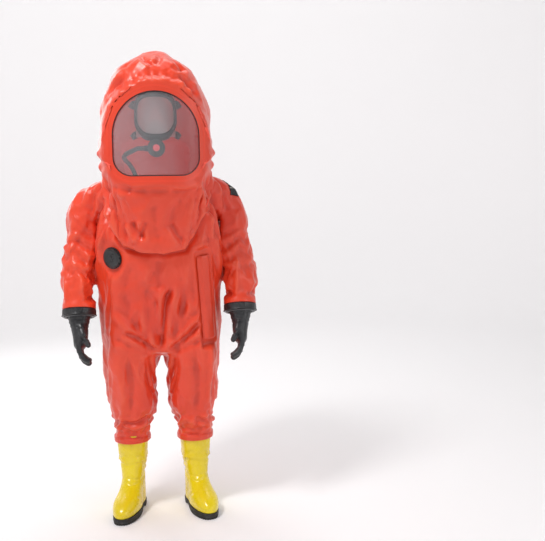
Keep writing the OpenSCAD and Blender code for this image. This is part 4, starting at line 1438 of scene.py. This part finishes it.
def cuff_part():
    """The moulded cuff ring with grip ribs and a rolled lip at each edge."""
    count = 144
    a = (np.arange(count) + .5) * 2 * math.pi / count
    inner = .05405
    profile = [(-.0140, inner), (-.0140, .0674), (-.0132, .0688), (-.0108, .0690), (-.0096, .0684), (-.0086, .0664),
               (-.0070, .0658), (.0085, .0658), (.0100, .0664), (.0118, .0664), (.0130, .0654), (.0150, .0630),
               (.0150, inner)]
    rings = []
    for z, r in profile:
        ribs = .0007 * (np.sin(a * 36) > .2) * (-.0080 < z < .0090)
        rings.append(np.stack(((r + ribs) * np.cos(a), (r + ribs) * np.sin(a), np.full(count, z)), 1))
    return bridged(rings, closed=True)


# ---------------------------------------------------------------- more materials

def moulded(name, dark, light, roughness, grain, grain_depth, coat=0.0, specular=0.5, smudge=0.12):
    """Rubber or plastic: two close colours, a moulded grain, and handling marks in its roughness."""
    material, shader = new_material(name)
    n = Nodes(material)
    n.link(n.mix(n.span(n.noise(14.0, 4.0), .3, .7), dark, light), shader.inputs["Base Color"])
    rough = n.span(n.noise(26.0, 5.0, .6), .3, .7, roughness - smudge, roughness + smudge)
    n.link(rough, shader.inputs["Roughness"])
    normal = n.bump(n.noise(grain, 3.0, .6), .35, grain_depth)
    normal = n.bump(n.noise(30.0, 4.0, .6), .20, .0010, normal)
    n.link(normal, shader.inputs["Normal"])
    shader.inputs["Specular IOR Level"].default_value = specular
    shader.inputs["Coat Weight"].default_value = coat
    shader.inputs["Coat Roughness"].default_value = .12
    return material


def boot_material():
    """Glossy yellow boot rubber, scuffed near the sole."""
    material, shader = new_material("boot_rubber")
    n = Nodes(material)
    colour = n.mix(n.span(n.noise(7.0, 4.0), .3, .7), (.80, .60, .004, 1), (.88, .70, .010, 1))
    height = n.add("ShaderNodeSeparateXYZ", {"Vector": n.place()}).outputs["Z"]
    grime = n.math("MULTIPLY", n.span(height, .060, .024), n.span(n.noise(55.0, 5.0, .7), .45, .70, 0, .45))
    colour = n.mix(grime, colour, (.42, .31, .02, 1))
    n.link(colour, shader.inputs["Base Color"])
    n.link(n.span(n.noise(18.0, 5.0, .62), .3, .7, .20, .36), shader.inputs["Roughness"])
    normal = n.bump(n.noise(240.0, 3.0), .10, .0004)
    n.link(n.bump(n.noise(22.0, 4.0, .55), .28, .0020, normal), shader.inputs["Normal"])
    shader.inputs["Specular IOR Level"].default_value = .5
    shader.inputs["Coat Weight"].default_value = .35
    shader.inputs["Coat Roughness"].default_value = .14
    return material


def metal(name, colour, roughness):
    material, shader = new_material(name)
    n = Nodes(material)
    shade = tuple(c * .82 for c in colour[:3]) + (1,)
    n.link(n.mix(n.span(n.noise(40.0, 4.0), .3, .7), shade, colour), shader.inputs["Base Color"])
    n.link(n.span(n.noise(60.0, 5.0, .6, (1, 1, 8)), .3, .7, roughness - .08, roughness + .10),
           shader.inputs["Roughness"])
    n.link(n.bump(n.noise(300.0, 2.0, .5, (1, 1, 6)), .12, .0003), shader.inputs["Normal"])
    shader.inputs["Metallic"].default_value = 1.0
    return material


def webbing(name, dark, light):
    """Woven strap: a fine twill with a slight fuzz."""
    material, shader = new_material(name)
    n = Nodes(material)
    place = n.place()
    warp = n.add("ShaderNodeTexWave", {"Vector": place, "Scale": 260.0, "Distortion": .6},
                 bands_direction="DIAGONAL")
    weft = n.add("ShaderNodeTexWave", {"Vector": place, "Scale": 190.0, "Distortion": .5}, bands_direction="Z")
    weave = n.math("MULTIPLY", warp.outputs["Fac"], weft.outputs["Fac"])
    n.link(n.mix(weave, dark, light), shader.inputs["Base Color"])
    n.link(n.span(n.noise(80.0, 3.0), .3, .7, .72, .9), shader.inputs["Roughness"])
    n.link(n.bump(weave, .5, .0006), shader.inputs["Normal"])
    shader.inputs["Sheen Weight"].default_value = .15
    return material


def clear(name, tint, alpha, roughness):
    """A clear sheet that keeps a grey veil of reflections, with faint smears."""
    material, shader = new_material(name)
    n = Nodes(material)
    smear = n.noise(3.0, 3.0, .5, (1, 1, .4))
    paler = tuple(min(1, c * 1.25) for c in tint[:3]) + (1,)
    n.link(n.mix(n.span(smear, .35, .65), tint, paler), shader.inputs["Base Color"])
    n.link(n.span(n.noise(12.0, 4.0), .3, .7, roughness, roughness + .05), shader.inputs["Roughness"])
    n.link(n.span(smear, .3, .7, alpha - .04, alpha + .05), shader.inputs["Alpha"])
    n.link(n.bump(n.noise(4.0, 2.0, .5), .10, .004), shader.inputs["Normal"])
    shader.inputs["Specular IOR Level"].default_value = .5
    return material


def patch_material():
    """A black woven badge with plain pale bars across it."""
    material, shader = new_material("patch_cloth")
    n = Nodes(material)
    height = n.add("ShaderNodeSeparateXYZ", {"Vector": n.place()}).outputs["Z"]
    bars = n.add("ShaderNodeMath", {0: n.math("MULTIPLY", height, 72.0), 1: 1.0}, operation="FRACT").outputs[0]
    bar = n.math("MULTIPLY", n.span(bars, .60, .64), n.span(bars, .90, .86))
    inner = n.math("MULTIPLY", n.span(height, 1.352, 1.354), n.span(height, 1.402, 1.400))
    bar = n.math("MULTIPLY", bar, inner)
    thread = n.add("ShaderNodeTexWave", {"Vector": n.place(), "Scale": 330.0, "Distortion": .5},
                   bands_direction="DIAGONAL").outputs["Fac"]
    ground = n.mix(thread, (.010, .010, .012, 1), (.045, .045, .050, 1))
    n.link(n.mix(bar, ground, (.42, .40, .36, 1)), shader.inputs["Base Color"])
    shader.inputs["Roughness"].default_value = .8
    n.link(n.bump(n.math("ADD", thread, n.math("MULTIPLY", bar, .8)), .5, .0008), shader.inputs["Normal"])
    return material


# ---------------------------------------------------------------- the mask behind the visor

MASK = Vector((0, -.172, 1.614))


def mask_ring(profile, half_angle=61.0, middle=.018, half_height=.074, count=96, power=.72):
    """A ring that follows the lens's outline on the mask's cylinder."""
    a = (np.arange(count) + .5) * 2 * math.pi / count
    u, v = superellipse(a, power)
    rings = []
    for turn, rise, radius in profile:
        angle = np.radians((half_angle + turn) * u)
        angle = angle * (1 - .20 * ramp(-v, .2, 1.0))  # the lens narrows towards the chin
        rings.append(np.stack((MASK.x + radius * np.sin(angle), MASK.y - radius * np.cos(angle),
                               MASK.z + middle + (half_height + rise) * v), 1))
    return bridged(rings, closed=True)


SKIRT = [(-3, -.004, .0828), (-3, -.004, .0862), (-1, -.001, .0884), (4, .006, .0890), (8, .012, .0876),
         (11, .016, .0835), (16, .019, .0770), (24, .022, .0710), (30, .021, .0665), (31, .018, .0640),
         (24, .014, .0675), (14, .010, .0740), (4, .006, .0785)]


HEAD_STRAPS = [  # a strap's line on the left side, and its width
    ([(.079, -.190, 1.668), (.094, -.160, 1.680), (.098, -.120, 1.690), (.085, -.080, 1.700), (.050, -.058, 1.706)],
     .020),
    ([(.076, -.190, 1.560), (.090, -.160, 1.556), (.094, -.120, 1.560), (.082, -.085, 1.575), (.050, -.060, 1.590)],
     .020),
    ([(.030, -.252, 1.712), (.038, -.225, 1.728), (.040, -.180, 1.738), (.036, -.120, 1.738), (.025, -.075, 1.722)],
     .018)]


def strap_part(points, width):
    dense = smooth_line(np.array(points), 7)
    middle = np.array([MASK.x, MASK.y + .03, MASK.z])
    return strip(dense, dense - middle, width, .0024)


def make_mask(m):
    finish_piece("mask_skirt", mask_ring(SKIRT), m["black_rubber"], "body",
                 ("mask_facepiece", "mask_rim"))
    straps = []
    for side in (1, -1):
        for line, width in HEAD_STRAPS:
            straps.append(strap_part([(side * x, y, z) for x, y, z in line], width))
    straps.append(strip(smooth_line(np.array([(-.060, -.052, 1.60), (-.045, -.050, 1.66), (0, -.052, 1.715),
                                              (.045, -.050, 1.66), (.060, -.052, 1.60)]), 8),
                        np.tile((0, 1.0, .1), (33, 1)), .045, .0026))
    finish_piece("mask_straps", joined(straps), m["strap"], "body", ("mask_head_net",))


# ---------------------------------------------------------------- putting it together

def make_pieces(m, tree):
    wrist, foot = forearm_matrix(), ankle_matrix()
    clasp_turn = Matrix.Rotation(math.radians(20), 4, "Z")
    made = []
    for word, part, place, material, body, slot, auto in (
            ("glove", glove_part(), wrist, "glove", "_hand", "glove_rubber", 70),
            ("cuff_ring", cuff_part(), wrist, "cuff", "_forearm", "black_plastic", 32),
            ("cuff_clasp", clasp_part(), wrist @ clasp_turn, "steel", "_forearm", "steel", 32),
            ("boot_upper", boot_part(), foot, "boot", "_shin", "boot_rubber", 50),
            ("boot_sole", sole_part(), foot, "sole", "_shin", "sole_rubber", 32),
            ("boot_band", band_part(), Matrix.Identity(4), "suit_plain", "_shin", "suit_fabric", 60)):
        made.append((word, out_of_frame(place, part[0]), part[1], material, body, slot, auto))
    for side, sign in SIDES:
        for word, points, faces, material, body, slot, auto in made:
            node = side + "_" + word
            finish_piece(node + "_look", (sided(points, sign), flipped(faces, sign)), m[material], side + body,
                         (node,), auto)
    points, faces = flap_part()
    finish_piece("zip_flap_look", (out_of_frame(zip_frame(), points), faces), m["suit_plain"], "zip_flap",
                 ("zip_flap",), 50)
    finish_piece("hanger_strap", loop_part(), m["webbing"], "body", ("hanger_loop",), 50)
    finish_piece("shoulder_badge", patch_part(tree), m["patch"], "left_upper_arm",
                 ("shoulder_patch",), 50)


def dress(materials):
    """Gives each CAD node that stays in view its own procedural material."""
    plan = {"visor_lens": "visor", "visor_rim": "suit_plain", "visor_seal": "seal", "valve_housing": "plastic",
            "valve_cap": "plastic", "valve_nut": "plastic", "valve_gasket": "seal", "valve_diaphragm": "grey_rubber",
            "zip_tape": "webbing", "zip_teeth": "brass", "zip_slider": "steel", "flap_hook_strip": "webbing",
            "flap_loop_strip": "webbing", "support_belt": "webbing", "support_braces": "webbing",
            "belt_buckle": "plastic", "mask_lens": "mask_lens", "mask_nose_cup": "black_rubber",
            "demand_valve": "plastic", "purge_button": "button", "air_hose": "black_rubber",
            "hose_coupling": "brass", "right_glove_ring": "grey_plastic", "left_glove_ring": "grey_plastic",
            "right_insole": "felt", "left_insole": "felt"}
    for node, word in plan.items():
        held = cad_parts[node]
        if not held.material_slots:
            held.data.materials.append(materials[word])
        for material_slot in held.material_slots:
            material_slot.material = materials[word]


def make_materials():
    black = (.012, .012, .013, 1)
    suit = suit_material()
    return {"suit": suit, "suit_plain": suit,
            "visor": clear("visor_clear", (.60, .63, .66, 1), .10, .03),
            "mask_lens": clear("mask_lens", (.72, .69, .70, 1), .50, .08),
            "seal": moulded("seal_rubber", black, (.030, .028, .028, 1), .45, 220.0, .0004),
            "black_rubber": moulded("mask_rubber", (.014, .015, .016, 1), (.040, .042, .044, 1), .50, 200.0, .0004),
            "grey_rubber": moulded("grey_rubber", (.14, .14, .15, 1), (.22, .22, .23, 1), .5, 200.0, .0004),
            "glove": moulded("glove_rubber", (.010, .010, .012, 1), (.034, .035, .038, 1), .42, 300.0, .0006, .10),
            "sole": moulded("sole_rubber", (.010, .010, .010, 1), (.035, .034, .032, 1), .66, 180.0, .0006),
            "plastic": moulded("black_plastic", black, (.026, .028, .030, 1), .34, 320.0, .0003, .10),
            "cuff": moulded("cuff_plastic", black, (.024, .024, .026, 1), .36, 280.0, .0003, .08),
            "grey_plastic": moulded("grey_plastic", (.10, .10, .105, 1), (.16, .16, .165, 1), .45, 260.0, .0003),
            "button": moulded("red_plastic", (.62, .05, .07, 1), (.80, .12, .14, 1), .34, 260.0, .0002),
            "felt": moulded("insole_felt", (.12, .13, .15, 1), (.22, .23, .26, 1), .92, 420.0, .0010),
            "boot": boot_material(), "steel": metal("steel", (.80, .81, .83, 1), .26),
            "brass": metal("zip_metal", (.66, .45, .16, 1), .32),
            "webbing": webbing("webbing", (.010, .010, .011, 1), (.060, .060, .064, 1)),
            "strap": webbing("mask_strap", (.012, .012, .013, 1), (.075, .078, .082, 1)),
            "patch": patch_material()}


make_camera()
make_stage()
materials = make_materials()
skin_tree = make_skin((materials["suit"], lining_material()))
make_pieces(materials, skin_tree)
make_mask(materials)
dress(materials)
